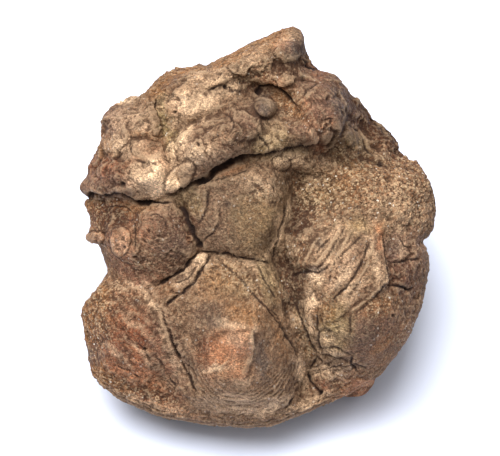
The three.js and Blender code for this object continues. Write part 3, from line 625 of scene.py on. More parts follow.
# small scarps, high on the left of the line: rise, reach, softness, line
SCARPS = [
    (1.0, 2.6, 0.2, [(-19.6, 26.6), (-17, 27.5), (-14, 28.5), (-11, 29.8), (-8.5, 30.6), (-6.6, 31.8)]),
    (1.0, 2.4, 0.25, [(-24.8, 23.6), (-23.8, 25.8), (-24.2, 28), (-25, 31), (-24.6, 34)]),
    (0.9, 2.4, 0.2, [(-34, 24.2), (-31, 24.4), (-27, 24.4), (-24.8, 23.6)]),
    (1.0, 2.6, 0.25, [(-4, 22.4), (0, 23.4), (1.8, 25.4), (0.9, 28), (-2.6, 30.4), (-7, 31)]),
    (0.65, 3, 0.3, [(0, 34.6), (1.4, 36), (3.4, 36.6), (5.6, 36), (9.4, 32.6), (11.4, 30.6), (13.8, 28),
        (16.4, 24.6), (16, 22)]),
    (1.1, 2.6, 0.22, [(16.4, 21.4), (20, 24), (22.6, 27), (23.4, 31), (21.6, 35.6)]),
    (0.8, 3, 0.3, [(16, 21.6), (20, 19.6), (24, 18.6), (28, 19.4), (31.6, 18), (35, 19.6)]),
    (1.1, 2.6, 0.25, [(23.6, 27.4), (26, 28.6), (29.6, 24.4), (33, 19.4)]),
    (0.6, 3, 0.2, [(33.6, -14), (32.8, -6), (32.2, 0)]),
    (0.7, 2.6, 0.2, [(20.4, -22.4), (22.6, -20), (25, -17.6), (28.4, -16), (32.6, -15.2)]),
    (0.45, 2.4, 0.15, [(-12.6, -29), (-11, -26.4), (-8.8, -24.7), (-4.6, -24.6), (-0.8, -24)]),
    (0.5, 3, 0.2, [(1, 16.4), (-2.6, 15.2), (-6, 14.2), (-9.5, 13.2), (-12.4, 12.4)]),
    (0.5, 2.4, 0.15, [(13.6, 34.6), (16, 33.2), (19, 33.6), (22.4, 35.6)]),
    (0.5, 2.4, 0.15, [(20.6, 24.6), (21.4, 29), (20.4, 33.6), (17.6, 37.6)]),
    (0.9, 3.5, 0.2, [(-3.4, -37.4), (-1.8, -35.4), (-0.8, -30.9), (-0.5, -26.9), (-0.8, -23.8)]),
    (0.5, 3, 0.3, [(-42, -17.4), (-36, -14.8), (-31, -14.4), (-26, -15.6)]),
    (0.9, 2.4, 0.3, [(-14.4, 34.6), (-12, 35.4), (-9, 36.7), (-7, 36.4), (-5, 35.4), (-1.6, 36.4),
        (2, 38.6)]),
    (1.1, 3, 0.3, [(3.6, 44), (6, 43), (8, 42.4), (10.4, 42.8), (12.4, 44.6)]),
    (0.4, 3, 0.15, [(-15, 1.3), (-13.2, 3.2), (-12, 6), (-11.9, 9.5), (-12.6, 12)]),
    (0.35, 3, 0.15, [(-13.3, -2.6), (-12, -1.6), (-10.3, 0), (-9, 2), (-8.7, 6)]),
    (0.7, 2.4, 0.25, [(-38, 19), (-34.6, 19.8), (-32, 20.4), (-30.6, 17.8), (-26.4, 16.8), (-23.4, 14)]),
    (0.6, 2.4, 0.2, [(-30, -13.4), (-26.4, -13.8), (-24.4, -19.4), (-21.6, -25.6), (-18, -33)]),
    (0.5, 2, 0.2, [(4.2, -7.8), (5, -11.6), (5.6, -15), (7.6, -18.8)]),
    (1.2, 3.5, 0.5, [(11.4, -8), (12, -3), (15.6, 0.6), (20, 3.6)]),
    (0.5, 2, 0.2, [(9.4, -9.4), (12.2, -8.4), (15.2, -8.6), (18.6, -6.8)]),
    (0.12, 2, 0.2, [(14.4, -34.8), (18, -32.6), (22, -32.2), (24.4, -33.4), (27, -33.5), (30, -35)]),
    (0.6, 2.5, 0.25, [(4.4, -45.4), (7, -42.8), (9.6, -40.4), (10.6, -37)]),
    (0.5, 2.4, 0.3, [(-35, 32), (-30, 33), (-25.4, 33.4)]),
    (0.5, 3, 0.25, [(-24.4, 19.6), (-22.4, 22.4), (-20.4, 25), (-19.8, 29), (-21.4, 33)]),
]
print(len(SEAMS), "ridges and", len(SCARPS), "scarps")

# %% Small plates, rings and holes
# small plates and knobs: middle u, v; half sizes; turn; height; depth of the groove round them
PLATELETS = [
    (6.7, 17.1, 2.2, 1.7, -20, 0.32, 0.22), (8.4, 19, 1.6, 1.3, 20, 0.3, 0.2),
    (11.6, 16.6, 2.9, 1.6, -15, 0.24, 0.15), (2.4, 31.2, 2.9, 2.8, 0, 0.15, 0.16),
    (14.6, 24.2, 1.1, 2.1, 10, 0.6, 0.04), (12.5, 31.9, 1.5, 1.3, 0, 0.25, 0.2),
    (17.4, 26.9, 1.2, 1.1, 0, 0.25, 0.2), (-40.6, -1.4, 1.1, 1.5, 0, 0.7, 0.4),
    (-38.8, -1.4, 0.9, 1.4, 0, 0.6, 0.4), (-16.1, -1.6, 0.9, 0.8, 0, 0.3, 0.25),
    (-13.5, -6.5, 1.8, 0.9, 25, 0.25, 0.15), (-26.8, 20.2, 4.2, 2.9, -25, 0.6, 0.06),
    (-18.8, 13.6, 4.6, 2.5, 48, 0.8, 0.15), (-23.8, 25, 2, 1.2, 20, 0.4, 0.2),
    (8.4, -2, 1.1, 2.4, 5, 0.2, 0.1), (24.8, 22.8, 2, 3, 30, 0.4, 0.08),
]
# rings with a sunk middle: the rosette, the worn knob beside it, and a bored hole
RINGS = [
    (-33.6, -2.3, 2.5, 3.9, 4, 0.4), (-27.3, -1, 1.9, 2.3, 0, 0.15), (17.4, 26.9, 1, 0.9, 0, 0.3),
]
# holes: middle, half width, depth
HOLES = [
    (-19.8, -26.6, 0.35, 0.5), (-17.6, -31.2, 0.3, 0.45), (-18.2, -29.6, 0.3, 0.4),
    (-16.6, -33.4, 0.3, 0.4), (-41, 9.1, 0.8, 1.6), (-33.4, 12, 0.7, 1.0), (-14.1, 21.8, 0.5, 0.7),
    (-20.4, 29.8, 0.4, 0.7), (0.9, 35.4, 0.8, 0.9), (16.2, -40.2, 0.7, 1.0), (-27.6, -29.4, 0.35, 0.6),
    (-26.8, -31, 0.3, 0.5), (31.4, 17.6, 0.8, 0.7), (-7.4, 36.4, 0.6, 0.9), (-13.8, -3.2, 0.9, 1.0),
    (-7, 6.9, 0.8, 0.2), (15.8, -3, 0.6, 0.3), (-19.5, -28.2, 0.5, 0.6), (-27.6, -2.4, 0.4, 0.5),
    (-26.4, 0.4, 0.4, 0.5), (18.2, 33.6, 0.5, 0.4), (34.6, -20.8, 0.4, 0.5), (-16.4, -1.6, 0.4, 0.6),
    (-9.6, -14, 0.35, 0.4), (-33.2, -1.6, 0.6, 0.16), (-32.6, -3.8, 0.5, 0.1), (-34.4, -3.2, 0.4, 0.1),
]
print(len(PLATELETS), "small plates,", len(RINGS), "rings and", len(HOLES), "holes")

# %% [markdown]
# ## Smooth ground and crumbly ground
#
# The look of the lump changes from place to place more by its roughness than by its colour. The cup
# plates are close-grained and nearly smooth. The sand beside them is all crumbs. The upper mass is
# knobbly like a cauliflower. Each kind of ground is a set of soft ellipses with ragged edges.

# %% Kinds of ground
# middle u, v; half sizes; turn; strength
SMOOTH_GROUND = [
    (-4, 4, 11.5, 9.5, -8, 1), (22, -6, 8.6, 11, -35, 0.95), (28, -26, 8, 9, 20, 0.9),
    (-4, -32, 12, 14, 0, 0.85), (-24.4, 13, 4.4, 4.2, 0, 0.95), (-32, -28, 8, 9, 0, 0.55),
    (-5.4, -30, 5.4, 5.4, 0, 1), (2.4, 31.4, 3, 2.9, 0, 0.9), (17.5, 31.4, 6.4, 8, -20, 0.85),
    (9, 46, 4, 3.4, 20, 0.7), (3.4, -12, 2.4, 6, 12, 0.9), (-30, -9, 7, 5, -25, 0.7),
    (-9.5, 14.8, 6, 1.6, 15, 0.8), (6.5, 5, 1.6, 6, -18, 0.9), (-33.6, -2.3, 2.2, 3.4, 0, 0.7),
    (-22, -1, 7, 6, 0, 0.5), (-18.6, -30, 3, 9, 20, 0.5), (7, 17.4, 4, 3, 0, 0.7),
    (14, -20, 4, 7, 12, 0.5), (38, -4, 3.6, 4, 0, 0.5), (-42, 11.6, 2, 3, 0, 0.6),
    (-17, 31.6, 5.5, 2.8, 5, 0.6), (25, 23, 2.6, 4, -40, 0.7), (-18.6, 23, 2, 5, -28, 0.5),
    (-26.8, 20.2, 4, 2.8, -25, 0.5), (-5, -44, 16, 2.6, 0, 0.5),
]
CRUMBLY_GROUND = [
    (27, 11.5, 19, 6.6, 8, 1), (39, 12, 7, 10, 0, 1), (16, 6.5, 8.5, 6.5, -30, 1),
    (11, -4, 3.6, 8, 0, 0.9), (9, -13.5, 3.6, 4.5, 0, 1), (12.6, -27, 2, 6, 18, 0.8),
    (18, -18, 3, 3.4, 0, 0.8), (-39.5, -22, 3.6, 9, 0, 1), (-36, -37.6, 7, 2.4, -25, 0.9),
    (9.5, 31, 4.6, 3, -45, 0.9), (0, 38.6, 6, 2.6, 25, 0.8), (29.6, 27.6, 3, 10, 46, 0.3),
    (-22.6, 27, 1.8, 6.5, 8, 0.5), (-38, 4, 5, 4, 0, 0.8), (-21, 40, 6, 1.5, 10, 0.7),
    (-34, -14, 4.6, 3, -30, 0.6), (31, -18.6, 5, 2, 30, 0.8), (36, -27, 2, 6, -30, 0.6),
    (14, 11, 5, 4, 0, 0.9), (-29.6, -7.6, 4, 2.8, -20, 0.7), (2, 10, 2.8, 2.2, 0, 0.9),
    (20, -36.4, 6, 3, 15, 0.4), (-3, -12.6, 6, 2.4, -35, 0.5), (-26, -41, 9, 1.6, -18, 0.7),
    (-4, 44, 8, 1.6, 26, 0.4), (24, 20, 5, 2, -10, 0.7),
]
KNOBBLY_GROUND = [
    (-6.5, 28, 4.4, 4, 0, 1), (-10, 22, 9, 4, 25, 0.5), (-33, 27, 7, 5, 0, 0.5), (-26, 13, 6, 4, 0, 0.25),
    (-14, 36.6, 13, 3, 15, 0.4), (37, -11, 5, 6, 0, 0.8), (12, 24, 8, 5, 0, 0.5), (34, 23, 4, 5, 46, 0.9),
    (10, 38, 6, 4, 0, 0.5), (-27.4, -1, 2, 2.4, 0, 0.8), (2, 10.4, 3.4, 2, 0, 0.8),
    (-37, 14, 5, 5, 0, 0.5), (-40, -1.4, 2, 2, 0, 0.6), (-30, 1, 6, 7, 0, 0.6),
]
MOSAIC_GROUND = [
    (9, 23.4, 6.6, 4.4, 0, 0.6), (9, 18.4, 5, 2.8, 10, 0.5), (14.6, -21, 4.6, 8.6, 10, 1),
    (20, -34, 6, 3.6, 10, 0.9), (8.6, -3, 1.6, 4, 0, 0.8), (36, -9, 4, 6, 0, 0.5),
    (-17.6, -12, 4.6, 3, 40, 0.7), (22, -25, 3, 4, 0, 0.7), (16, -8, 5, 3, 30, 0.6),
]
PLANE_GROUND = [
    (18, 30, 7, 10, -20, 1), (26, 22, 6, 5, -40, 1), (37, -8, 5, 8, 0, 1), (-32, 27, 8, 6, 0, 0.8),
    (-13, 38, 13, 3, 16, 0.6), (10, 40, 5, 5, 0, 0.7), (9, 22.6, 6, 3.6, 0, 0.6), (-36, 14, 6, 5, 0, 0.7),
    (24, -12, 9, 9, -35, 0.4), (-10, 24, 10, 5, 22, 0.5), (-27, 0, 8, 8, 0, 0.5),
]
PITTED_PATCHES = [
    (2, 10, 3.2, 2.6, 0, 1), (-27.4, -8.4, 3.6, 2.2, -25, 0.9), (-3.4, -10.4, 4, 2.6, -40, 0.8),
    (-14.6, -27, 1.2, 3.4, 0, 0.8), (31, -17.6, 4, 1.8, 30, 0.8), (22.8, -8.6, 6, 1.8, 54, 0.6),
    (-21, -15, 2.4, 1.6, 40, 0.6),
]


def ground(u, v, ellipses, edge=0.22):
    """The strongest of a set of soft ellipses: strength / (1 + exp((r - 1) / edge))."""
    share = np.zeros(u.shape)
    for *where, strength in ellipses:
        share = np.maximum(share, strength * soft_step(ellipse(u, v, *where) - 1, edge))
    return share


print(len(SMOOTH_GROUND), "smooth places,", len(CRUMBLY_GROUND), "crumbly,", len(KNOBBLY_GROUND), "knobbly")

# %% How far each kind of ground reaches
RAGGED_LENGTH = 4.0  # the edges of the grounds wander by about 1 mm over this length
FACE_BAND = 0.12  # latitude behind the rim over which the face's marks die out
SIDE_CRUMBS = 0.75  # how crumbly the sides and the back are
CALMING = 0.8  # how much of the roughness a smooth plate loses

u, v = as_seen(*point.T)
face_u = u + layered_noise(point, RAGGED_LENGTH, 11, 3)
face_v = v + layered_noise(point, RAGGED_LENGTH, 21, 3)
facing = ease(1 + latitude / FACE_BAND)
smooth_share, crumbly_share, knobbly_share, mosaic_share, plane_share = (
    ground(face_u, face_v, areas) * facing
    for areas in (SMOOTH_GROUND, CRUMBLY_GROUND, KNOBBLY_GROUND, MOSAIC_GROUND, PLANE_GROUND)
)
smooth_share *= 1 - ground(face_u, face_v, PITTED_PATCHES)
rough_share = 1 - CALMING * smooth_share
crumbly_share = np.maximum(crumbly_share, SIDE_CRUMBS * (1 - facing)) * rough_share
knobbly_share *= rough_share
print("smooth share of the face:", round(float(smooth_share[facing > 0.5].mean()), 2))

# %% [markdown]
# ## Bedding
#
# The lump was laid down in layers and pressed, so it breaks in streaks along them, as wood does along
# its grain. Each plate and block has turned its own way, so each has its own direction. A streak is
# ordinary noise drawn out along that direction.

# %% Where the stone breaks in streaks
# direction in degrees, and ellipses as above
BEDDING = [
    (-46, [(-31, -26, 11, 12, 0, 0.7), (-19.5, -29, 3.4, 10, 20, 1), (-31, -10, 7, 5, -30, 0.7)]),
    (52, [(23, -7, 8, 12, -35, 1), (30, -22, 8, 9, 20, 0.5)]),
    (22, [(-12, 37, 15, 3.4, 18, 1), (-10, 22, 12, 5.4, 22, 0.35), (-32, 28, 7, 5, 0, 0.6)]),
    (-66, [(6, -12, 4, 12, 12, 1), (14, -22, 4, 8, 12, 0.8), (30, 27, 4, 10, 46, 0.6)]),
    (-30, [(-36, 13, 7, 6, 0, 0.7), (17, 31, 6, 8, -20, 0.5)]),
]


def drawn_out(places, size, seed, turn, stretch=4.0):
    """Noise drawn out along a direction of the face: the run in that direction is divided by the
    stretch, so each bump is that much longer than wide."""
    c, s = np.cos(np.radians(turn)), np.sin(np.radians(turn))
    along, across = places[:, 0] * c + places[:, 1] * s, places[:, 1] * c - places[:, 0] * s
    return layered_noise(np.stack([along / stretch, across, places[:, 2] / 2], 1), size, seed, 3)


print("bedding directions:", len(BEDDING))

# %% [markdown]
# ## The fine relief
#
# All of it is pushed out along the large form's own normals, so that a crack on a steep side still goes
# into the stone. Cracks wander a little, because chalk breaks round its grains. Crumbs are domes round
# scattered seeds, and pits are the same domes turned inward. Growth lines on the boss are ripples that
# follow its edge, and worn layers show as ripples along the lower rim and on the slab.

# %% Cracks, holes, ridges, scarps and small plates
WANDER = 0.2  # a crack strays from its line by this much, in mm, and by 0.6 of it in shorter bends
wander_u, wander_v = (
    place + WANDER * smooth_noise(point, 2.6, seed) + 0.6 * WANDER * smooth_noise(point, 0.9, seed + 2)
    for place, seed in ((u, 31), (v, 32))
)
# a crack gapes more here and less there, by up to 0.4 of its width
gape = np.clip(1 + 0.5 * layered_noise(point, 2.4, 35, 2), 0.6, 1.4)
crack, crack_depth, seam, scarp, platelet = np.zeros((5, len(point)))
for half, depth, line in CRACKS:
    distance, _, to_end = nearest(wander_u, wander_v, line)
    opening = 1 + (gape - 1) * min(1, 0.4 / depth)
    groove = np.exp(-((distance / (half * opening)) ** 2)) * (0.3 + 0.7 * ease(to_end / 1.5))
    crack = np.maximum(crack, groove * min(1, 0.6 + depth / 1.4))
    crack_depth = np.maximum(crack_depth, depth * groove * opening)
for cu, cv, half, depth in HOLES:
    hole = np.exp(-((np.hypot(wander_u - cu, wander_v - cv) / half) ** 3))
    crack = np.maximum(crack, hole * min(1, 0.4 + 0.6 * depth))
    crack_depth = np.maximum(crack_depth, depth * hole)
for half, height, line in SEAMS:
    distance, _, to_end = nearest(wander_u, wander_v, line)
    seam = np.maximum(seam, height * np.exp(-((distance / half) ** 2)) * ease(to_end / 4) * gape)
for rise, reach, edge, line in SCARPS:
    distance, left, to_end = nearest(wander_u, wander_v, line)
    step = soft_step(np.where(left, -distance, distance), edge)
    scarp += rise * (step - 0.5) * ease(to_end / TAPER) * np.exp(-((distance / reach) ** 2))
for *where, height, groove in PLATELETS:
    r = ellipse(wander_u, wander_v, *where)
    platelet += height * np.sqrt(np.clip(1 - r**4, 0, 1)) - groove * np.exp(-(((r - 1.1) / 0.14) ** 2))
    crack = np.maximum(crack, 0.5 * np.exp(-(((r - 1.1) / 0.11) ** 2)) * min(1, groove * 3))
for *where, height in RINGS:
    r = ellipse(0.6 * wander_u + 0.4 * face_u, 0.6 * wander_v + 0.4 * face_v, *where)
    platelet += height * np.exp(-(((r - 0.8) / 0.22) ** 2)) - 0.6 * height * np.exp(-((r / 0.45) ** 2))
print("deepest crack, in mm:", round(float(crack_depth.max()), 2))

# %% Growth lines on the lower half of the boss, and worn layers
BOSS = (-3.4, -29, 11.5, 12.5, 0)
BOSS_LINE, RIM_LAYER, SLAB_LAYER = 0.85, 0.9, 1.7  # from one ripple to the next, in mm
SKIRT, SKIRT_HALF = 12.5, 3.6  # how far round the boss its lines lie, and half the width of their band
SKIRT_TOP, SKIRT_FOOT = -29, -47  # v where they begin and where they end
RIM_HALF, RIM_TOP = 3.2, -30  # width over which the rim's layers fade inward, and v where they begin
SLAB_TURN = np.radians(-48)
SLAB_LAYERS = [(-28, -33, 9, 5, -35, 1), (-19.5, -31, 3.4, 8, 20, 0.8)]
wobble = 0.6 * smooth_noise(point, 5.0, 41)
from_boss = ellipse(u, v, *BOSS) * BOSS[2]
boss_skirt = np.exp(-(((from_boss - SKIRT) / SKIRT_HALF) ** 2))
boss_skirt *= ease((SKIRT_TOP - v) / 8)
boss_skirt *= ease((v - SKIRT_FOOT) / 2)
to_rim = outline_radius(direction) - np.hypot(point[:, 0], point[:, 1])
rim_band = np.exp(-((to_rim / RIM_HALF) ** 2)) * ease((RIM_TOP - v) / 6) * facing
across_slab = -u * np.sin(SLAB_TURN) + v * np.cos(SLAB_TURN)
slab_band = ground(face_u, face_v, SLAB_LAYERS) * facing
growth = sum(
    strength * np.sin(run * FULL_TURN / spacing) * band
    for strength, run, spacing, band in (
        (1, from_boss + wobble, BOSS_LINE, boss_skirt), (1, to_rim + 0.4 * wobble, RIM_LAYER, rim_band),
        (0.5, across_slab + 2.2 * wobble, SLAB_LAYER, slab_band),
    )
) * np.clip(0.75 + 0.7 * smooth_noise(point, 2.2, 43), 0, 1)
print("share of the face with growth lines:", round(float((boss_skirt[facing > 0.5] > 0.3).mean()), 3))

# %% Chips, crumbs, pits and streaks
CRUMB, GRIT, PIT, PLATE = 1.6, 0.8, 1.9, 3.4  # from one seed to the next, in mm
# broken stone: chips are cells that each tilt their own way, so that small scarps stand between them
warped = point + 0.6 * np.stack([smooth_noise(point, 1.8, 44 + k) for k in range(3)], 1)
chips = sum(tilt * share for tilt, share in (
    (grains(warped, 6.4, 47)[3], 0.35 + 1.3 * plane_share), (grains(warped, 2.3, 48)[3], 0.2),
    (grains(warped, 1.0, 49)[3], 0.13),
))
near_crumb, _, crumb_chance, _ = grains(point, CRUMB, 51)
near_grit, _, grit_chance, _ = grains(point, GRIT, 52)
near_pit, _, pit_chance, _ = grains(point, PIT, 53)
near_plate, next_plate, _, plate_tilt = grains(warped, PLATE, 57)
crumbs = np.sqrt(np.clip(1 - (near_crumb / 0.62) ** 2, 0, 1)) * (0.1 + crumb_chance)
grit = np.sqrt(np.clip(1 - (near_grit / 0.65) ** 2, 0, 1)) * (0.2 + grit_chance)
pits = np.exp(-((near_pit / (0.12 + 0.16 * pit_chance)) ** 2)) * (pit_chance > 0.5)
joint = np.exp(-(((next_plate - near_plate) / 0.09) ** 2)) * mosaic_share
crack = np.maximum(crack, 0.4 * joint)
knobs = layered_noise(point, 3.6, 61, 4, billow=True)
streak = sum(
    drawn_out(warped, 1.6, 121 + 4 * k, turn) * ground(face_u, face_v, areas)
    for k, (turn, areas) in enumerate(BEDDING)
) * facing
print("share of the surface under crumbs:", round(float((crumbs > 0).mean()), 2))

# %% Height of the fine relief, in mm
on_face = 0.35 + 0.65 * facing
parts = {
    "tooth": 0.14 * layered_noise(point, 1.1, 81, 2) * rough_share,
    "waves": layered_noise(point, 7.0, 71, 6) * (0.36 - 0.26 * smooth_share) * (1 - 0.45 * plane_share),
    "chips": 0.7 * chips * (rough_share - 0.35 * crumbly_share) * (1 - 0.6 * mosaic_share),
    "knobs": 0.3 * knobbly_share * knobs * rough_share,
    "crests": -0.15 * layered_noise(warped, 4.4, 65, 5, billow=True) * rough_share,
    "lumpy sand": 0.2 * crumbly_share * knobs * facing,
    "streaks": 0.24 * streak,
    "crumbs": 0.28 * crumbs * crumbly_share * on_face,
    "grit": (0.04 + 0.3 * crumbly_share) * grit * rough_share * on_face,
    "pits": -0.4 * pits * (0.25 + 0.75 * knobbly_share) * rough_share * on_face,
    "mosaic": 0.28 * plate_tilt * mosaic_share - 0.16 * joint,
    "growth lines": 0.15 * growth,
    "marks": (seam + scarp + platelet - crack_depth) * facing,
}
fine = sum(parts.values())
for name, part in parts.items():
    print(f"{name:12} from {part.min():5.2f} to {part.max():4.2f} mm")

# %% [markdown]
# ## Onto the table
#
# The face is tipped back by its lean, lifted, and pressed flat where the lump touches the table. The
# solid part stands over the middle of its own box, so the fine lump is moved by the same amount: the
# middle of the large form's box goes to the middle of the solid's.

# %% Place the fine lump where the solid is
def stand(points):
    """The face turned back by its lean about u, then lifted."""
    s, c = np.sin(FACE_TILT), np.cos(FACE_TILT)
    turned = points @ np.array([(1, 0, 0), (0, s, c), (0, -c, s)])
    return turned + (0, 0, FACE_HEIGHT)


RUBBED_FLAT = 2.5  # the fine relief comes in over this height above the table
large = stand(point)
large[:, 2] = above(large[:, 2], FLOOR_ROUNDING)
shift = ((low + high) / 2 - (large.min(0) + large.max(0)) / 2) * (1, 1, 0)
off_ground = ease(large[:, 2] / RUBBED_FLAT)
placed = large + normals_of(large) * (fine * off_ground)[:, None] + shift
placed[:, 2] = np.maximum(placed[:, 2], 0)
outside = np.maximum(low - placed.min(0), placed.max(0) - high)
print("large form against the solid, in mm:", np.round(large.max(0) - large.min(0) - (high - low), 2))
print("fine lump outside the solid's box, in mm:", np.round(outside, 2))
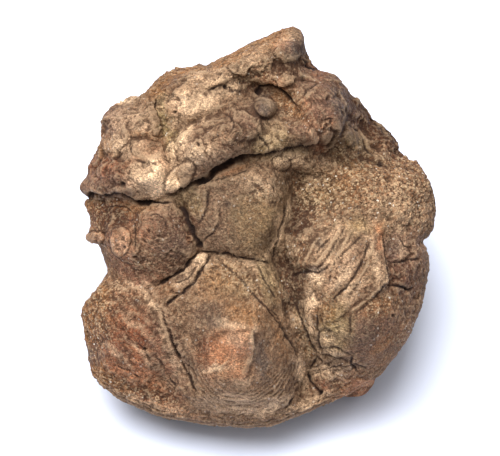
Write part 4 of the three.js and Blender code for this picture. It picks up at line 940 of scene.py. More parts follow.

# %% [markdown]
# ## Where each colour lies
#
# Chalk plates are tan to cream. Iron stains them: rust where it is fresh on a broken facet, ochre where
# it has turned to a yellow powder, and a red-brown on the slab at the lower left. Manganese gives the
# mauve and slate tones, and lime with a little green clay the olive ones. Some umber patches are
# painted shade, in valleys, under ledges and round the ball, and some cream patches are painted
# highlight. A stain has no outline, so its edge is ragged noise.

# %% Stains: a colour and its soft ellipses (middle u, v; half sizes; turn; strength)
STAINS = {
    "slab_red": ("6a351e", [
        (-33, -27, 8.5, 10, 10, 1), (-35.5, 3, 6, 6, 0, 0.8), (-36.5, 16, 5, 3.4, 0, 0.8),
        (30, 27, 3.4, 11, 46, 1), (15.4, 40.6, 1.2, 4, 50, 0.9), (-38, 27, 2, 5, 0, 0.7),
        (-25.5, -40.2, 6, 1.8, -14, 1), (-12, -31, 2.4, 5, 0, 0.7), (10.5, 8, 1.8, 6, 0, 0.8),
        (16.4, 20.6, 2.6, 1.4, 0, 0.9), (11.4, 2.4, 3, 2.8, 20, 0.9), (13.5, -19.5, 3, 2, 0, 0.4),
        (16.5, -39, 1.8, 1.8, 0, 0.6), (36.5, -11, 4, 5, 0, 0.6), (-17, 3, 1.6, 5, 20, 0.7),
        (-30, -11, 7, 3, -35, 0.5), (15, 39.6, 3, 1.6, -50, 0.7), (-8.8, -27, 1.6, 3, 0, 0.5),
        (-22, -10, 3.4, 3, 0, 0.4), (13.6, 28, 1.4, 3, -40, 0.6),
    ]),
    "mauve": ("6c4e40", [
        (-22, 1, 6, 7.5, 0, 0.8), (18, 31, 6.4, 8, -20, 0.8), (-2, 27.5, 5, 4, 20, 0.6),
        (-11, 18.6, 7, 2.4, 25, 0.5), (-35, 27.6, 5, 4.4, 0, 0.8), (-36, 12, 6, 2.6, 0, 0.8),
        (8.6, 13, 1.6, 3, 0, 0.7), (37.5, -5, 5, 6, 0, 0.9), (29, -24, 8, 8, 20, 0.8),
        (-22, -28, 3.4, 10, 22, 0.7), (-30, -9, 6, 4, -30, 0.5), (23.4, -8, 7.5, 2.3, 54, 0.45),
        (11.6, 26.6, 3, 3, 0, 0.7), (20, -36, 7, 4, 15, 0.3), (-18.6, -12, 5, 3.6, 30, 0.5),
        (31, -6, 2, 8, 12, 0.3), (38, -16, 3, 6, 10, 0.5), (12.6, 38, 3, 4, 0, 0.6),
        (-42, 11.4, 2, 3, 0, 0.8), (-13, 24, 3, 3, 0, 0.3),
    ]),
    "slate": ("4f4640", [
        (9.8, 45.2, 2.8, 3.2, 0, 1), (2.6, 31.4, 2.8, 2.8, 0, 1), (20.8, 32, 1.6, 5, 16, 0.8),
        (1.4, -32, 1.6, 4.6, 8, 0.9), (-9.6, -22.2, 3, 1.8, 10, 0.8), (-7, 6.8, 1.9, 1.6, 0, 0.6),
        (-30, -17.6, 1.4, 1, 0, 0.4), (-33, -30, 2, 1, -45, 0.4), (-41.4, -30.4, 2.4, 2.6, 0, 0.8),
        (16, -3, 1.1, 1, 0, 0.9), (-14.4, 8.4, 3.2, 2.4, 0, 0.5), (25.2, 22.8, 2, 3.2, 35, 0.35),
        (27, -24.6, 4, 4, 0, 0.6), (9, -13, 2.2, 4.5, 0, 0.7), (13.6, -10.6, 4.4, 1.3, 25, 0.8),
        (-11, -20, 4.2, 2.6, 30, 0.6), (-20, -4, 4, 4, 0, 0.4), (-38.4, -22.4, 1.6, 4, 0, 0.6),
        (34.6, -3.6, 2, 3, 0, 0.6), (28.6, 4.6, 3, 1.6, 0, 0.3), (-7, 4, 7, 8.6, 0, 0.35),
        (-6, 4, 1.4, 3, 0, 0.4), (17, 8, 4, 3, 0, 0.4), (11, 2, 2.8, 3.6, 0, 0.9),
        (21, 9, 1.6, 1.2, 0, 0.6),
    ]),
    "olive": ("7d6b45", [
        (6.6, 3, 1.6, 7.5, -18, 0.5), (1, 2, 7, 8, 0, 0.45),
        (3.4, -12, 2.2, 6, 12, 0.7), (-22.6, 27.6, 1.7, 6, 8, 0.9), (3.6, 22.6, 4.4, 3.6, 30, 0.7),
        (20, -24, 4, 6, 0, 0.85), (26, 1.6, 3.2, 2.6, 0, 0.4), (-20.6, 22.4, 1.6, 3.6, 0, 0.7),
        (14, 10, 9, 5, 0, 0.4), (-6, -12, 7, 4, -20, 0.3), (7.6, 20, 5, 3, 0, 0.4),
        (-16.4, 7.4, 3.6, 3, 0, 0.6), (24, 20, 6, 4, -20, 0.5), (12, -22, 2, 9, 12, 0.4),
    ]),
    "ochre": ("8c5f37", [
        (-6, 15.9, 5, 1, 22, 0.6), (7, 34, 4, 1.6, -40, 0.7), (-24, 37.2, 4.6, 2.2, 35, 0.9),
        (-17, 40.2, 6, 1.4, 8, 0.8), (-6, 43.6, 7, 1.6, 26, 0.9), (3, 47.8, 6, 1.6, 24, 0.8),
        (-40, -20, 3.4, 8, 0, 0.9), (-37, -36.6, 6, 2, -30, 0.9), (9, 31.6, 5, 2, -40, 0.9),
        (-21.6, 39, 4, 2, 20, 0.5), (-10.5, -14, 6, 5, 0, 0.25), (-3, -20.4, 6, 3, -20, 0.6),
        (33, -29, 3, 5, -35, 0.4), (31, -18.6, 5, 2.2, 20, 0.6), (36, 10, 9, 8, 0, 0.4),
        (24, 12, 9, 5, 0, 0.4), (32, 0.4, 1.4, 2.4, 0, 0.9), (17.6, -20, 3, 2.4, 0, 0.6),
        (-41, 7, 3, 2, 0, 0.7), (-30, 6, 5, 1.4, 0, 0.6), (26, -40, 5, 1.6, 15, 0.5),
        (-38, 21.4, 2.6, 2.4, 0, 0.6), (-8.4, -30, 1.6, 5, 0, 0.5), (6, -26, 1.4, 7, 18, 0.4),
        (-27.6, 24, 4, 0.9, -10, 0.5), (-21.4, -14, 2, 2, 0, 0.4),
    ]),
    "rust": ("ae7451", [
        (-5, -28.6, 4.4, 4.2, 0, 0.9), (-7.6, 15.2, 4, 0.9, 24, 0.5), (-27, -37, 4, 2.4, -30, 0.9),
        (-24, -43, 9, 0.9, -18, 0.35), (-9.6, -31, 3, 4.4, -20, 0.85), (-4.4, -34.6, 3.4, 2.6, 10, 0.6),
        (-22.9, 17, 1.5, 1.3, 0, 0.95), (14.6, 24.2, 1.2, 2.2, 10, 1), (25.8, -39.6, 4, 3, 0, 1),
        (-33.6, -2.6, 2.4, 4, 4, 1), (-27.4, -1, 2.2, 2.6, 0, 0.4), (31.6, -2, 1.1, 3.6, 8, 0.8),
        (-40, -1.4, 2, 1.8, 0, 0.8), (25.4, -40.2, 4.4, 1.6, 16, 1), (5.6, 37, 3, 0.9, -20, 0.8),
        (-20.4, 31, 1.8, 1.8, 0, 0.6), (-33, -35, 4, 1.2, -40, 0.5), (7, 47.6, 2.2, 2, 0, 0.5),
        (-30.6, -29.4, 3, 0.9, -30, 0.6), (17.4, 26.9, 1.4, 1.3, 0, 0.6), (-8, -10, 5, 3, 0, 0.1),
        (-16.1, -1.6, 1, 0.9, 0, 0.9), (-27, 20.4, 4, 2.6, -25, 0.4), (12.4, 31.9, 1.6, 1.4, 0, 0.5),
        (-28.4, -33.6, 3.4, 0.8, -48, 0.6), (-31, 17.6, 3, 1, 10, 0.4), (-37, 33, 2, 1.4, 0, 0.4),
        (-22, -33, 0.9, 5, 24, 0.4), (-34, -22, 1.6, 1.2, 0, 0.4),
    ]),
    # cream is pale chalk, and some of its patches are painted highlight: on the ball, and over shaded
    # places such as below the main crack and on slopes that face away
    "cream_and_highlight": ("f4cea6", [
        (-16.6, 32, 5.6, 2.6, 8, 0.75), (-33.6, -2.6, 2, 3.2, 4, 0.35), (14.6, 24.2, 0.9, 1.9, 10, 0.5),
        (15.6, -12.2, 2, 1.6, 0, 0.6), (-5, -42, 9, 1.6, 0, 0.3), (24.6, -14.6, 4.4, 1.2, 46, 0.4),
        (18, 17, 3, 1, 0, 0.3), (-40.2, -1.4, 1.6, 1.6, 0, 0.3), (-24.6, 13, 5.4, 5, 0, 1),
        (-20.8, 12.6, 2, 3.6, -20, 1), (-23.6, 9.6, 2.4, 1.6, 0, 0.8),
        (-14.4, 19.4, 3.8, 2.4, 30, 0.8), (4, 24, 3.4, 2.4, 30, 0.2), (6.8, 1.6, 1.5, 7, -18, 1),
        (-17, -11.4, 3.4, 2, 40, 0.4), (-13.6, -7, 2, 1.6, 30, 0.6), (-8, 14.2, 3, 1, 22, 0.1),
        (19.4, -29.8, 3, 1, -8, 0.6), (-13, 39.4, 4, 1, 14, 0.3), (0, 45.6, 5, 1, 26, 0.2),
        (-35, -30, 0.9, 4, 48, 0.4), (-31, -22, 0.7, 4, 44, 0.3), (-28.6, -30, 0.7, 4.6, 42, 0.4),
        (-20, 16.4, 2.4, 1.6, 20, 0.8), (-18.6, 22.4, 1.5, 4.6, -28, 0.8), (-12, 34.4, 10, 1.6, 12, 0.5),
        (-7, 39.6, 9, 2, 22, 0.3), (3.4, -11, 1.8, 5, 12, 0.15), (12.9, -17, 2, 2.8, 10, 0.8),
        (13.4, -23, 1.2, 2.6, 15, 0.8), (17.6, -26.6, 2.6, 2, 0, 0.4), (21, -25.4, 2, 3, 0, 0.15),
        (-13.5, -6.5, 1.8, 1.1, 25, 0.9), (-2, -8.4, 9, 1.4, -8, 0.15), (-5, -26.6, 3, 1.8, -20, 0.3),
        (-3, -37.4, 2.4, 1.2, 20, 0.3), (-26, -42.8, 8, 0.9, -18, 0.25), (20, -3.4, 4.4, 5.4, -35, 0.25),
        (3.6, 32.2, 1.2, 1, 0, 0.3), (37.4, -4, 1.6, 2, 0, 0.3), (9, -3, 1.1, 2.6, 5, 0.5),
        (-33.5, 33, 4, 0.9, 8, 0.9), (-31, 21, 5, 2.4, 0, 0.35), (4.6, -43.6, 4, 1.3, 35, 0.8),
        (-10, -34.4, 3.4, 0.9, 14, 0.8), (-22, -27, 1.2, 8, 22, 0.35), (11.6, -35, 1, 4, 10, 0.8),
        (8.4, 18.2, 4, 2, 0, 0.5), (-19, 30, 2, 3, 0, 0.4), (17.6, -34.6, 3.6, 1.6, 0, 0.5),
        (-0.4, -28, 0.8, 4.4, 0, 0.7), (36.6, 7, 7, 6, 0, 0.3), (22, -11, 4, 1.6, 54, 0.5),
        (30, -8, 1, 6, 18, 0.5), (10, -22.4, 1.2, 2, 25, 0.5), (-26.2, -17, 0.9, 4, 20, 0.5),
        (-33.6, 22.6, 4, 1.6, 0, 0.5), (-5.4, 38.6, 6, 1.4, 18, 0.5), (8.4, 48.4, 2.6, 1.2, 20, 0.4),
        (-31.4, 27.6, 5, 3, 10, 0.3), (-16.4, 19.4, 3.6, 1.6, 30, 0.35), (2, 11, 4, 2.6, -10, 0.4),
        (14.6, 12.6, 3, 1.6, 0, 0.3), (-4, -44.6, 8, 0.9, -4, 0.4), (13, -42.6, 5, 1, 24, 0.4),
        (-30, -14, 3, 0.8, -10, 0.3), (27.6, 0.6, 1, 3, -30, 0.1), (-12, 28.4, 2, 1.4, 0, 0.4),
        (-6.4, -23, 4, 1, -15, 0.4),
    ]),
    # umber is dark brown stain, and some of its patches are painted shade: in the valleys, under the ledges
    # and in a crescent round the ball
    "umber_and_shade": ("3d2515", [
        (-1.4, 36, 4.6, 2.6, -15, 0.85), (11, 2, 3.8, 4.4, 0, 1), (-2, 2, 8, 7, 0, 0.45),
        (-14, 7, 3, 4, 0, 0.3), (-21, 0, 5, 4, 0, 0.45), (0.2, 32.4, 0.8, 2.4, 0, 0.7),
        (1.4, 28.8, 2.4, 0.7, 0, 0.7), (11.4, 6, 3, 3, 0, 0.6),
        (-36, 3, 4.4, 3.6, 0, 0.9), (9.2, -12, 3.4, 8, 10, 1), (29, -25, 6, 6, 0, 0.55),
        (30, 27.4, 3.2, 11, 46, 1), (-40, -21, 2.4, 6, 0, 0.3), (-20, 0.4, 5, 5, 0, 0.25),
        (17, 32, 6, 8, -20, 0.2), (24, 19, 7, 2.6, -6, 0.5), (-11, -20.4, 2.8, 2.2, 20, 0.5),
        (24.4, 19.4, 5, 1.8, -6, 0.7), (12, -13, 2, 2, 0, 0.4),
        (8, 41.2, 4.6, 1.8, -10, 0.85), (25, 19, 7.5, 1.6, -6, 0.8), (12.4, 4.4, 2.6, 4.6, -20, 0.7),
        (-16.6, 2, 1.6, 6, 22, 0.8), (10, -8, 2.2, 4, 0, 0.6),
        (19.4, 21.4, 2.6, 1.8, 0, 0.7), (11.4, 45, 1.2, 3.4, 10, 0.6), (-20, -8, 3, 2.4, 0, 0.4),
        (-8.6, 17.4, 5, 0.7, 32, 0.5), (-26, -40, 6, 1.3, -16, 0.85), (22, 23, 1.4, 3, 0, 0.1),
        (14, -36.4, 1, 2.4, 10, 0.5), (-29.6, 1, 0.7, 4.6, 0, 0.6), (20, 27, 2, 4, 10, 0.3),
        (-34, 12.2, 1.6, 1.4, 0, 0.6), (10.6, 13.6, 2, 3, 0, 0.5), (-13, -30, 1.4, 6, 8, 0.4),
        (-22, 36.8, 2, 0.9, 20, 0.4), (-36, 4, 4.6, 4, 0, 0.3),
        (28, -23, 6, 6, 0, 0.25), (12, 1.6, 4, 1.6, 20, 0.5), (37, -11, 4, 4, 0, 0.3),
        (17, 35, 3, 2, -40, 0.3), (-12.6, -19.6, 2, 1.2, 30, 0.5), (7.4, 29.6, 2.6, 1.6, -40, 0.5),
        (-33.4, -24, 6, 5, 0, 0.2), (0, 28.4, 1, 2, 0, 0.4), (26, -36.6, 6, 1, 32, 0.4),
        (38.4, -9, 2.6, 1, -10, 0.4), (-14.4, -11, 2, 0.8, 40, 0.3),
    ]),
}

# %% Spread of the stains over the face and the hidden sides
STRAY, STRAY_LENGTH = 1.1, 3.0  # how far a stain's edge strays, and over what length, in mm
STAIN_EDGE = 0.2
# the sides and the back are weathered matrix: stain, width of its patches in mm, seed, strength
SIDE_STAINS = [
    ("ochre", 17.0, 101, 0.9), ("slab_red", 13.0, 102, 0.8), ("umber_and_shade", 9.0, 103, 0.7),
    ("mauve", 15.0, 104, 0.6), ("cream_and_highlight", 8.0, 105, 0.4),
]

ragged_u = u + STRAY * layered_noise(point, STRAY_LENGTH, 91, 4)
ragged_v = v + STRAY * layered_noise(point, STRAY_LENGTH, 95, 4)
masks = {
    name: ground(ragged_u, ragged_v, areas, STAIN_EDGE) * facing for name, (_, areas) in STAINS.items()
}
for name, size, seed, strength in SIDE_STAINS:
    patch = ease(layered_noise(point, size, seed) * 1.6 + 0.1) * strength
    masks[name] = np.maximum(masks[name], patch * (1 - facing))

# the last knob is rusty and looks out from under the lower right rim; its colour ends 1.4 radii out
*knob_middle, knob_radius, _ = KNOBS[-1]
rusty = ease(2 - 1.4 * np.linalg.norm(point - knob_middle, axis=1) / knob_radius)
masks["rust"] = np.maximum(masks["rust"], rusty)
for name, *_ in SIDE_STAINS:
    masks[name] *= 1 - 0.9 * rusty
for name, mask in masks.items():
    print(f"{name:9} covers {mask[facing > 0.5].mean():.2f} of the face")

# %% [markdown]
# ## Hollows and crests
#
# Hollows are painted darker, as dirt and as painted shade, and crests paler, as rubbed wear and as
# painted highlight. How deep a place lies is the smoothed relief around it less its own height, taken
# at three widths: about 0.5 mm for nicks, 1 mm for crumbs and 3 mm for folds.

# %% Depth of the hollows
edge_from = np.concatenate([faces[:, 0], faces[:, 1], faces[:, 2]])
edge_to = np.concatenate([faces[:, 1], faces[:, 2], faces[:, 0]])
degree = np.bincount(edge_from, minlength=len(point)) + np.bincount(edge_to, minlength=len(point))


def smoothed(values, rounds):
    """Values averaged with their neighbours on the mesh, several times over."""
    for _ in range(rounds):
        total = np.bincount(edge_from, values[edge_to], len(values))
        total += np.bincount(edge_to, values[edge_from], len(values))
        values = 0.5 * values + 0.5 * total / degree
    return values


print("edges of the mesh:", len(edge_from) // 2)

# %% Masks for the finish
# the depth, in mm, at which a nick, a hollow and a fold count as full, and the height of a full seam
NICK_DEPTH, HOLLOW_DEPTH, BASIN_DEPTH, SEAM_HEIGHT = 0.08, 0.25, 0.45, 0.4
# the nick, hollow and basin masks paint hollows darker, as dirt and as painted shade, and crests paler, as
# rubbed wear and as painted highlight
nick = smoothed(fine, 3) - fine
near_level = smoothed(fine, 12)
far_level = smoothed(near_level, 60)
masks["hollow"] = np.clip((near_level - fine) / HOLLOW_DEPTH, -1, 1)
masks["basin"] = np.clip((far_level - near_level) / BASIN_DEPTH, -1, 1)
masks["nick"] = np.clip(nick / NICK_DEPTH, -1, 1) * (1 - 0.3 * crumbly_share)
# the crack mask paints cracks, holes and joints dark, as iron film and as painted shade in their depths
masks["crack"] = np.clip(crack * facing, 0, 1)
# the seam mask paints ridges paler, as worn edges and as painted highlight where they catch the light
masks["seam"] = np.clip(seam / SEAM_HEIGHT, 0, 1) * facing
masks["streak"] = streak
masks["crumbly"] = crumbly_share
masks["smooth"] = smooth_share
growth_band = np.clip(boss_skirt + rim_band + 0.6 * slab_band, 0, 1)
masks["line"] = np.clip(0.5 + 0.5 * growth, 0, 1) * growth_band
for title, depth in (("nick", nick), ("hollow", near_level - fine), ("fold", far_level - near_level)):
    print(f"deepest {title}: {depth.max():.2f} mm, highest crest: {-depth.min():.2f} mm")

# %% [markdown]
# ## The mesh of the lump
#
# One natural piece is one closed mesh. It replaces the plain solid in the picture, rides on the one
# body that the record has, and takes its finish from the stone material made below. Every mask goes
# along as a number at each point.

# %% Build the lump
mesh = bpy.data.meshes.new("crinoid_lump")
mesh.vertices.add(len(placed))
mesh.vertices.foreach_set("co", (placed * MM).ravel())
mesh.loops.add(faces.size)
mesh.loops.foreach_set("vertex_index", faces.ravel().astype(np.int32))
mesh.polygons.add(len(faces))
mesh.polygons.foreach_set("loop_start", np.arange(0, faces.size, 3, dtype=np.int32))
mesh.update(calc_edges=True)
mesh.validate()
mesh.shade_smooth()
for name, mask in masks.items():
    layer = mesh.attributes.new(name, "FLOAT", "POINT")
    layer.data.foreach_set("value", mask.astype(np.float32))
lump = bpy.data.objects.new("crinoid_lump", mesh)
bpy.context.scene.collection.objects.link(lump)
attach(lump, "root")
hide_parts("crinoid_fossil")
print("triangles in the lump:", len(mesh.polygons), "masks:", len(masks))

# %% [markdown]
# ## Fossil limestone
#
# The lump is crinoid limestone, broken and weathered: calcite, 1.5 in index of refraction, with a dull
# skin of grains. The roughness is about 0.8, and the specular level is half the usual, because the
# grains shade one another's glints. The colour is tan chalk under the stains. It is then broken up at
# every size that the eye can tell: mottling of 5 mm, weathering of 1.5 mm, crumbs of 1.1 mm, specks of
# 0.5 mm, sand grains of 0.42 mm and dust of 0.22 mm. Real fine sand is half as coarse, too fine to
# show. A few grains are painted near white, as painted glints. At last come the hollows, painted darker
# as dirt and as painted shade, the crests and seams, painted paler as rubbed wear and as painted
# highlight, and the cracks, painted dark as iron film and as painted shade.

# %% Colours and nodes
def linear(colour):
    """Linear red, green, blue and alpha of an sRGB hex colour."""
    parts = np.array([int(colour[k:k + 2], 16) for k in (0, 2, 4)]) / 255
    parts = np.where(parts <= 0.04045, parts / 12.92, ((parts + 0.055) / 1.055) ** 2.4)
    return (*parts.tolist(), 1.0)


stone = bpy.data.materials.new("crinoid_limestone")
stone.use_nodes = True
tree = stone.node_tree
tree.nodes.clear()


def add(kind, inputs=(), **settings):
    """Adds one node to the tree: its settings, and its inputs as values or as sockets to link."""
    made = tree.nodes.new(kind)
    for name, value in settings.items():
        setattr(made, name, value)
    for name, value in dict(inputs).items():
        if isinstance(value, bpy.types.NodeSocket):
            tree.links.new(value, made.inputs[name])
        else:
            made.inputs[name].default_value = value
    return made


TAN = "765a43"
# the last grain colour is a near white, painted on a few grains as painted glints of light
PALE_GRAIN, RUSTY_GRAIN, DARK_GRAIN, PAINTED_GLINT = "cdb08a", "8f5a35", "3b2518", "efe2cf"
# the first of these paints hollows darker as dirt and as painted shade, the second paints crests and seams
# paler as rubbed wear and as painted highlight, the third paints cracks dark as iron film and as painted
# shade
DIRT_AND_SHADE, RUBBED_AND_HIGHLIGHT, FILM_AND_SHADE = "3e2617", "b09374", "24150e"
MOTTLE, WEATHER, SPECK, DUST = 5.0, 1.5, 0.5, 0.22  # sizes in mm, as are the next ones
GRAIN, CRUMB_SIZE, CRUMB_BEND, FEATHER = 0.42, 1.1, 0.9, 3.2
print("tan chalk, linear:", np.round(linear(TAN)[:3], 3))

# %% Patterns in the stone
place = add("ShaderNodeTexCoord").outputs["Object"]
mask = {name: add("ShaderNodeAttribute", attribute_name=name).outputs["Fac"] for name in masks}
mottle, weather, speck, dust = (
    add("ShaderNodeTexNoise", {
        "Vector": place, "Scale": 1 / (size * MM), "Detail": detail, "Roughness": 0.6,
    }).outputs[0]
    for size, detail in ((MOTTLE, 4.0), (WEATHER, 3.0), (SPECK, 2.0), (DUST, 1.0))
)

# a sand grain is a cell with its own chance and shade
grain = add("ShaderNodeTexVoronoi", {"Vector": place, "Scale": 1 / (GRAIN * MM)})
grain_chance, grain_shade = add("ShaderNodeSeparateColor", {"Color": grain.outputs["Color"]}).outputs[:2]

# the crust is made of crumbs, which are bent cells, and is weaker where a plate is smooth
bend = add("ShaderNodeTexNoise", {"Vector": place, "Scale": 1 / (WEATHER * MM), "Detail": 2.0})
bent = add("ShaderNodeVectorMath", {
    0: bend.outputs["Color"], 1: (CRUMB_BEND * MM,) * 3, 2: place,
}, operation="MULTIPLY_ADD").outputs[0]
crust = add("ShaderNodeTexVoronoi", {
    "Vector": bent, "Scale": 1 / (CRUMB_SIZE * MM), "Detail": 2.0, "Roughness": 0.6,
}).outputs[0]
broken = add("ShaderNodeMapRange", {0: mask["smooth"], 1: 0.0, 2: 1.0, 3: 1.0, 4: 0.4}).outputs[0]
crust = add("ShaderNodeMath", {0: crust, 1: broken}, operation="MULTIPLY").outputs[0]

# brown weathering has feathered edges, and takes more of the rough ground than of the smooth plates
feather = add("ShaderNodeTexNoise", {
    "Vector": place, "Scale": 1 / (FEATHER * MM), "Detail": 9.0, "Roughness": 0.68,
}).outputs[0]
browned = add("ShaderNodeMapRange", {0: mask["smooth"], 1: 0.0, 2: 1.0, 3: 0.42, 4: 0.15}).outputs[0]
print("nodes for the patterns:", len(tree.nodes))

# %% The colour of the stone
colour = linear(TAN)
spread = add("ShaderNodeMapRange", {0: mottle, 1: 0.3, 2: 0.7, 3: 0.55, 4: 1.1}).outputs[0]
for name, (stain, _) in STAINS.items():
    share = add("ShaderNodeMath", {0: mask[name], 1: spread}, operation="MULTIPLY", use_clamp=True)
    colour = add(
        "ShaderNodeMix", {0: share.outputs[0], 6: colour, 7: linear(stain)}, data_type="RGBA"
    ).outputs[2]

# patterns that darken and lighten: from the first shade at one value to the second at the other
for pattern, start, end, first_shade, second_shade in (
    (mottle, 0.3, 0.7, 0.84, 1.18), (weather, 0.3, 0.7, 0.84, 1.2), (speck, 0.3, 0.7, 0.7, 1.37),
    (dust, 0.3, 0.7, 0.44, 1.68), (grain_shade, 0.0, 1.0, 0.75, 1.36), (crust, 0.1, 0.6, 1.29, 0.87),
    (mask["streak"], -0.6, 0.6, 0.66, 1.36),
):
    shade = add("ShaderNodeMapRange", {0: pattern, 1: start, 2: end, 3: first_shade, 4: second_shade})
    colour = add(
        "ShaderNodeMix", {0: 1.0, 6: colour, 7: shade.outputs[0]}, data_type="RGBA", blend_type="MULTIPLY"
    ).outputs[2]
share = add("ShaderNodeMapRange", {0: feather, 1: 0.5, 2: 0.6, 3: 0.0, 4: browned}).outputs[0]
colour = add("ShaderNodeMix", {0: share, 6: colour, 7: linear(DIRT_AND_SHADE)}, data_type="RGBA").outputs[2]

# single grains, each kind with its own range of chance, most of them where the ground crumbles; the
# near white ones are painted glints
for start, end, amount, hue in (
    (0.0, 0.16, 0.75, DARK_GRAIN), (0.3, 0.44, 0.5, RUSTY_GRAIN), (0.78, 0.98, 0.6, PALE_GRAIN),
    (0.993, 1.0, 1.1, PAINTED_GLINT),
):
    after = add("ShaderNodeMath", {0: grain_chance, 1: start}, operation="GREATER_THAN").outputs[0]
    until = add("ShaderNodeMath", {0: grain_chance, 1: end}, operation="LESS_THAN").outputs[0]
    picked = add("ShaderNodeMath", {0: after, 1: until}, operation="MULTIPLY").outputs[0]
    amounts = {0: mask["crumbly"], 1: 0.0, 2: 1.0, 3: 0.23 * amount, 4: amount}
    ground_share = add("ShaderNodeMapRange", amounts).outputs[0]
    share = add("ShaderNodeMath", {0: picked, 1: ground_share}, operation="MULTIPLY").outputs[0]
    colour = add("ShaderNodeMix", {0: share, 6: colour, 7: linear(hue)}, data_type="RGBA").outputs[2]

# umber stains darkened further, hollows darkened as dirt and as painted shade, crests paler as rubbed
# wear and as painted highlight, growth lines and seams paler (seams also as painted highlight), and
# cracks darkened as iron film and as painted shade
for name, start, end, amount, hue in (
    ("umber_and_shade", 0.45, 1.0, 0.6, DIRT_AND_SHADE), ("hollow", 0.08, 0.8, 0.58, DIRT_AND_SHADE), ("basin", 0.15, 1.0, 0.52, DIRT_AND_SHADE),
    ("hollow", -0.15, -0.9, 0.33, RUBBED_AND_HIGHLIGHT), ("basin", -0.2, -1.0, 0.25, RUBBED_AND_HIGHLIGHT),
    ("line", 0.5, 1.0, 0.5, RUBBED_AND_HIGHLIGHT), ("seam", 0.2, 1.0, 0.6, RUBBED_AND_HIGHLIGHT), ("nick", 0.1, 1.0, 0.4, DIRT_AND_SHADE),
    ("nick", -0.1, -1.0, 0.2, RUBBED_AND_HIGHLIGHT), ("crack", 0.12, 0.85, 0.95, FILM_AND_SHADE),
):
    share = add("ShaderNodeMapRange", {0: mask[name], 1: start, 2: end, 3: 0.0, 4: amount}).outputs[0]
    colour = add("ShaderNodeMix", {0: share, 6: colour, 7: linear(hue)}, data_type="RGBA").outputs[2]
print("nodes for the patterns and the colour:", len(tree.nodes))

# %% The skin of the stone
# dull all over, but for about one grain in 70, which is a clean crystal and glints
rough = add("ShaderNodeMapRange", {0: weather, 1: 0.3, 2: 0.7, 3: 0.66, 4: 0.92}).outputs[0]
glint = add("ShaderNodeMath", {0: grain_chance, 1: 0.985}, operation="GREATER_THAN").outputs[0]
rough = add("ShaderNodeMix", {0: glint, 2: rough, 3: 0.25}).outputs[0]

# the same patterns that shade the skin also raise it, as if by about 0.5 mm
skin_height = add("ShaderNodeMath", {0: speck, 1: weather}, operation="ADD").outputs[0]
for pattern, amount in ((dust, 0.5), (crust, -0.6)):
    skin_height = add(
        "ShaderNodeMath", {0: pattern, 1: amount, 2: skin_height}, operation="MULTIPLY_ADD"
    ).outputs[0]
bump = add("ShaderNodeBump", {"Height": skin_height, "Strength": 1.0, "Distance": 0.55 * MM}).outputs[0]
skin = add("ShaderNodeBsdfPrincipled", {
    "Base Color": colour, "Roughness": rough, "IOR": 1.5, "Specular IOR Level": 0.25, "Normal": bump,
})
add("ShaderNodeOutputMaterial", {"Surface": skin.outputs[0]})
mesh.materials.append(stone)
print("nodes in the stone's material:", len(tree.nodes))

# %% [markdown]
# ## Table, lamp and camera
#
# The lump lies on plain pale paper. One broad lamp stands above it, a little to the left and behind,
# so that ledges throw short soft shadows down the face, and a sky that is brightest overhead opens the
# shadows. The camera looks straight at the plated face, from an arm's length away.

# %% The table
TABLE_HALF = 1.5
PAPER, PAPER_ROUGHNESS = "e2e9fb", 0.9
corners = [(x * TABLE_HALF, y * TABLE_HALF, 0) for x, y in ((-1, -1), (1, -1), (1, 1), (-1, 1))]
table_mesh = bpy.data.meshes.new("table")
table_mesh.from_pydata(corners, [], [(0, 1, 2, 3)])
table = bpy.data.objects.new("table", table_mesh)
bpy.context.scene.collection.objects.link(table)
paper = bpy.data.materials.new("pale_paper")
paper.use_nodes = True
sheet = paper.node_tree.nodes["Principled BSDF"]
sheet.inputs["Base Color"].default_value = linear(PAPER)
sheet.inputs["Roughness"].default_value = PAPER_ROUGHNESS
table_mesh.materials.append(paper)
table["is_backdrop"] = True
print("the table measures, in m:", 2 * TABLE_HALF)

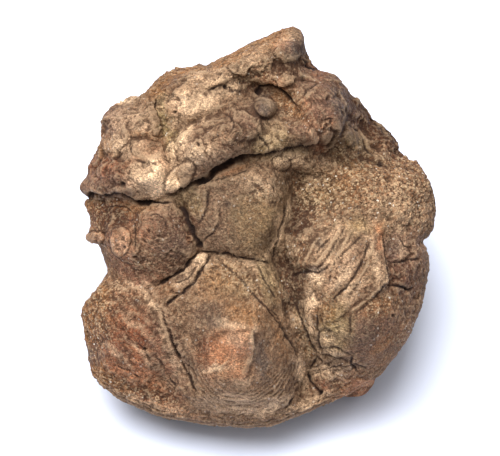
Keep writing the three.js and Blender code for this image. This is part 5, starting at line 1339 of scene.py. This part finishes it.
# %% Lamp
LAMP_SPOT, LAMP_SIZE = (-0.2, 0.07, 0.88), 0.8  # in m
LAMP_POWER = 16.3  # in W
scene = bpy.context.scene
lamp = bpy.data.objects.new("key_lamp", bpy.data.lights.new("key_lamp", "AREA"))
lamp.data.size = LAMP_SIZE
lamp.data.energy = LAMP_POWER
lamp.location = LAMP_SPOT
to_face = Vector((0, 0, FACE_HEIGHT * MM)) - lamp.location
lamp.rotation_euler = to_face.to_track_quat("-Z", "Y").to_euler()
scene.collection.objects.link(lamp)
print("the lamp's distance from the lump, in m:", round(to_face.length, 3))

# %% Sky
# its strength at the horizon and overhead, the power of the rise between them, and its tint
SKY_LOW, SKY_HIGH, SKY_BEND = 0.05, 1.2, 2.0
SKY_TINT = (1.0, 0.985, 0.965, 1.0)
sky = bpy.data.worlds.new("white_room")
scene.world = sky
sky.use_nodes = True
tree = sky.node_tree  # from here on, add works on the sky
toward = add("ShaderNodeTexCoord").outputs["Generated"]
rise = add("ShaderNodeSeparateXYZ", {0: toward}).outputs["Z"]
overhead = add("ShaderNodeMath", {0: rise, 1: SKY_BEND}, operation="POWER", use_clamp=True).outputs[0]
light = add("ShaderNodeMapRange", {0: overhead, 1: 0.0, 2: 1.0, 3: SKY_LOW, 4: SKY_HIGH}).outputs[0]
tree.links.new(light, tree.nodes["Background"].inputs["Strength"])
tree.nodes["Background"].inputs["Color"].default_value = SKY_TINT
scene.view_settings.view_transform = "Standard"
print("nodes in the sky:", len(tree.nodes))

# %% Camera
LENS = 174.8  # in mm, on a sensor 36 mm wide
across = np.array([1, 0, 0])
up = np.array([0, np.sin(FACE_TILT), np.cos(FACE_TILT)])
out = np.array([0, -np.cos(FACE_TILT), np.sin(FACE_TILT)])
aim = np.array([0, 0, FACE_HEIGHT]) + VIEW_AIM[0] * across + VIEW_AIM[1] * up + shift
camera = bpy.data.objects.new("camera", bpy.data.cameras.new("camera"))
camera.data.lens = LENS
camera.data.clip_start = 0.01
camera.location = Vector((aim + out * VIEW_DISTANCE) * MM)
camera.rotation_euler = Vector(-out).to_track_quat("-Z", "Y").to_euler()
scene.collection.objects.link(camera)
scene.camera = camera
print("camera stands at, in m:", np.round(camera.location, 3))

# %% Sizes and the end
bounds_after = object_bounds()
size_after = np.array(bounds_after[1]) - np.array(bounds_after[0])
print("the fine lump measures, in mm:", np.round(size_after * 1000, 1))
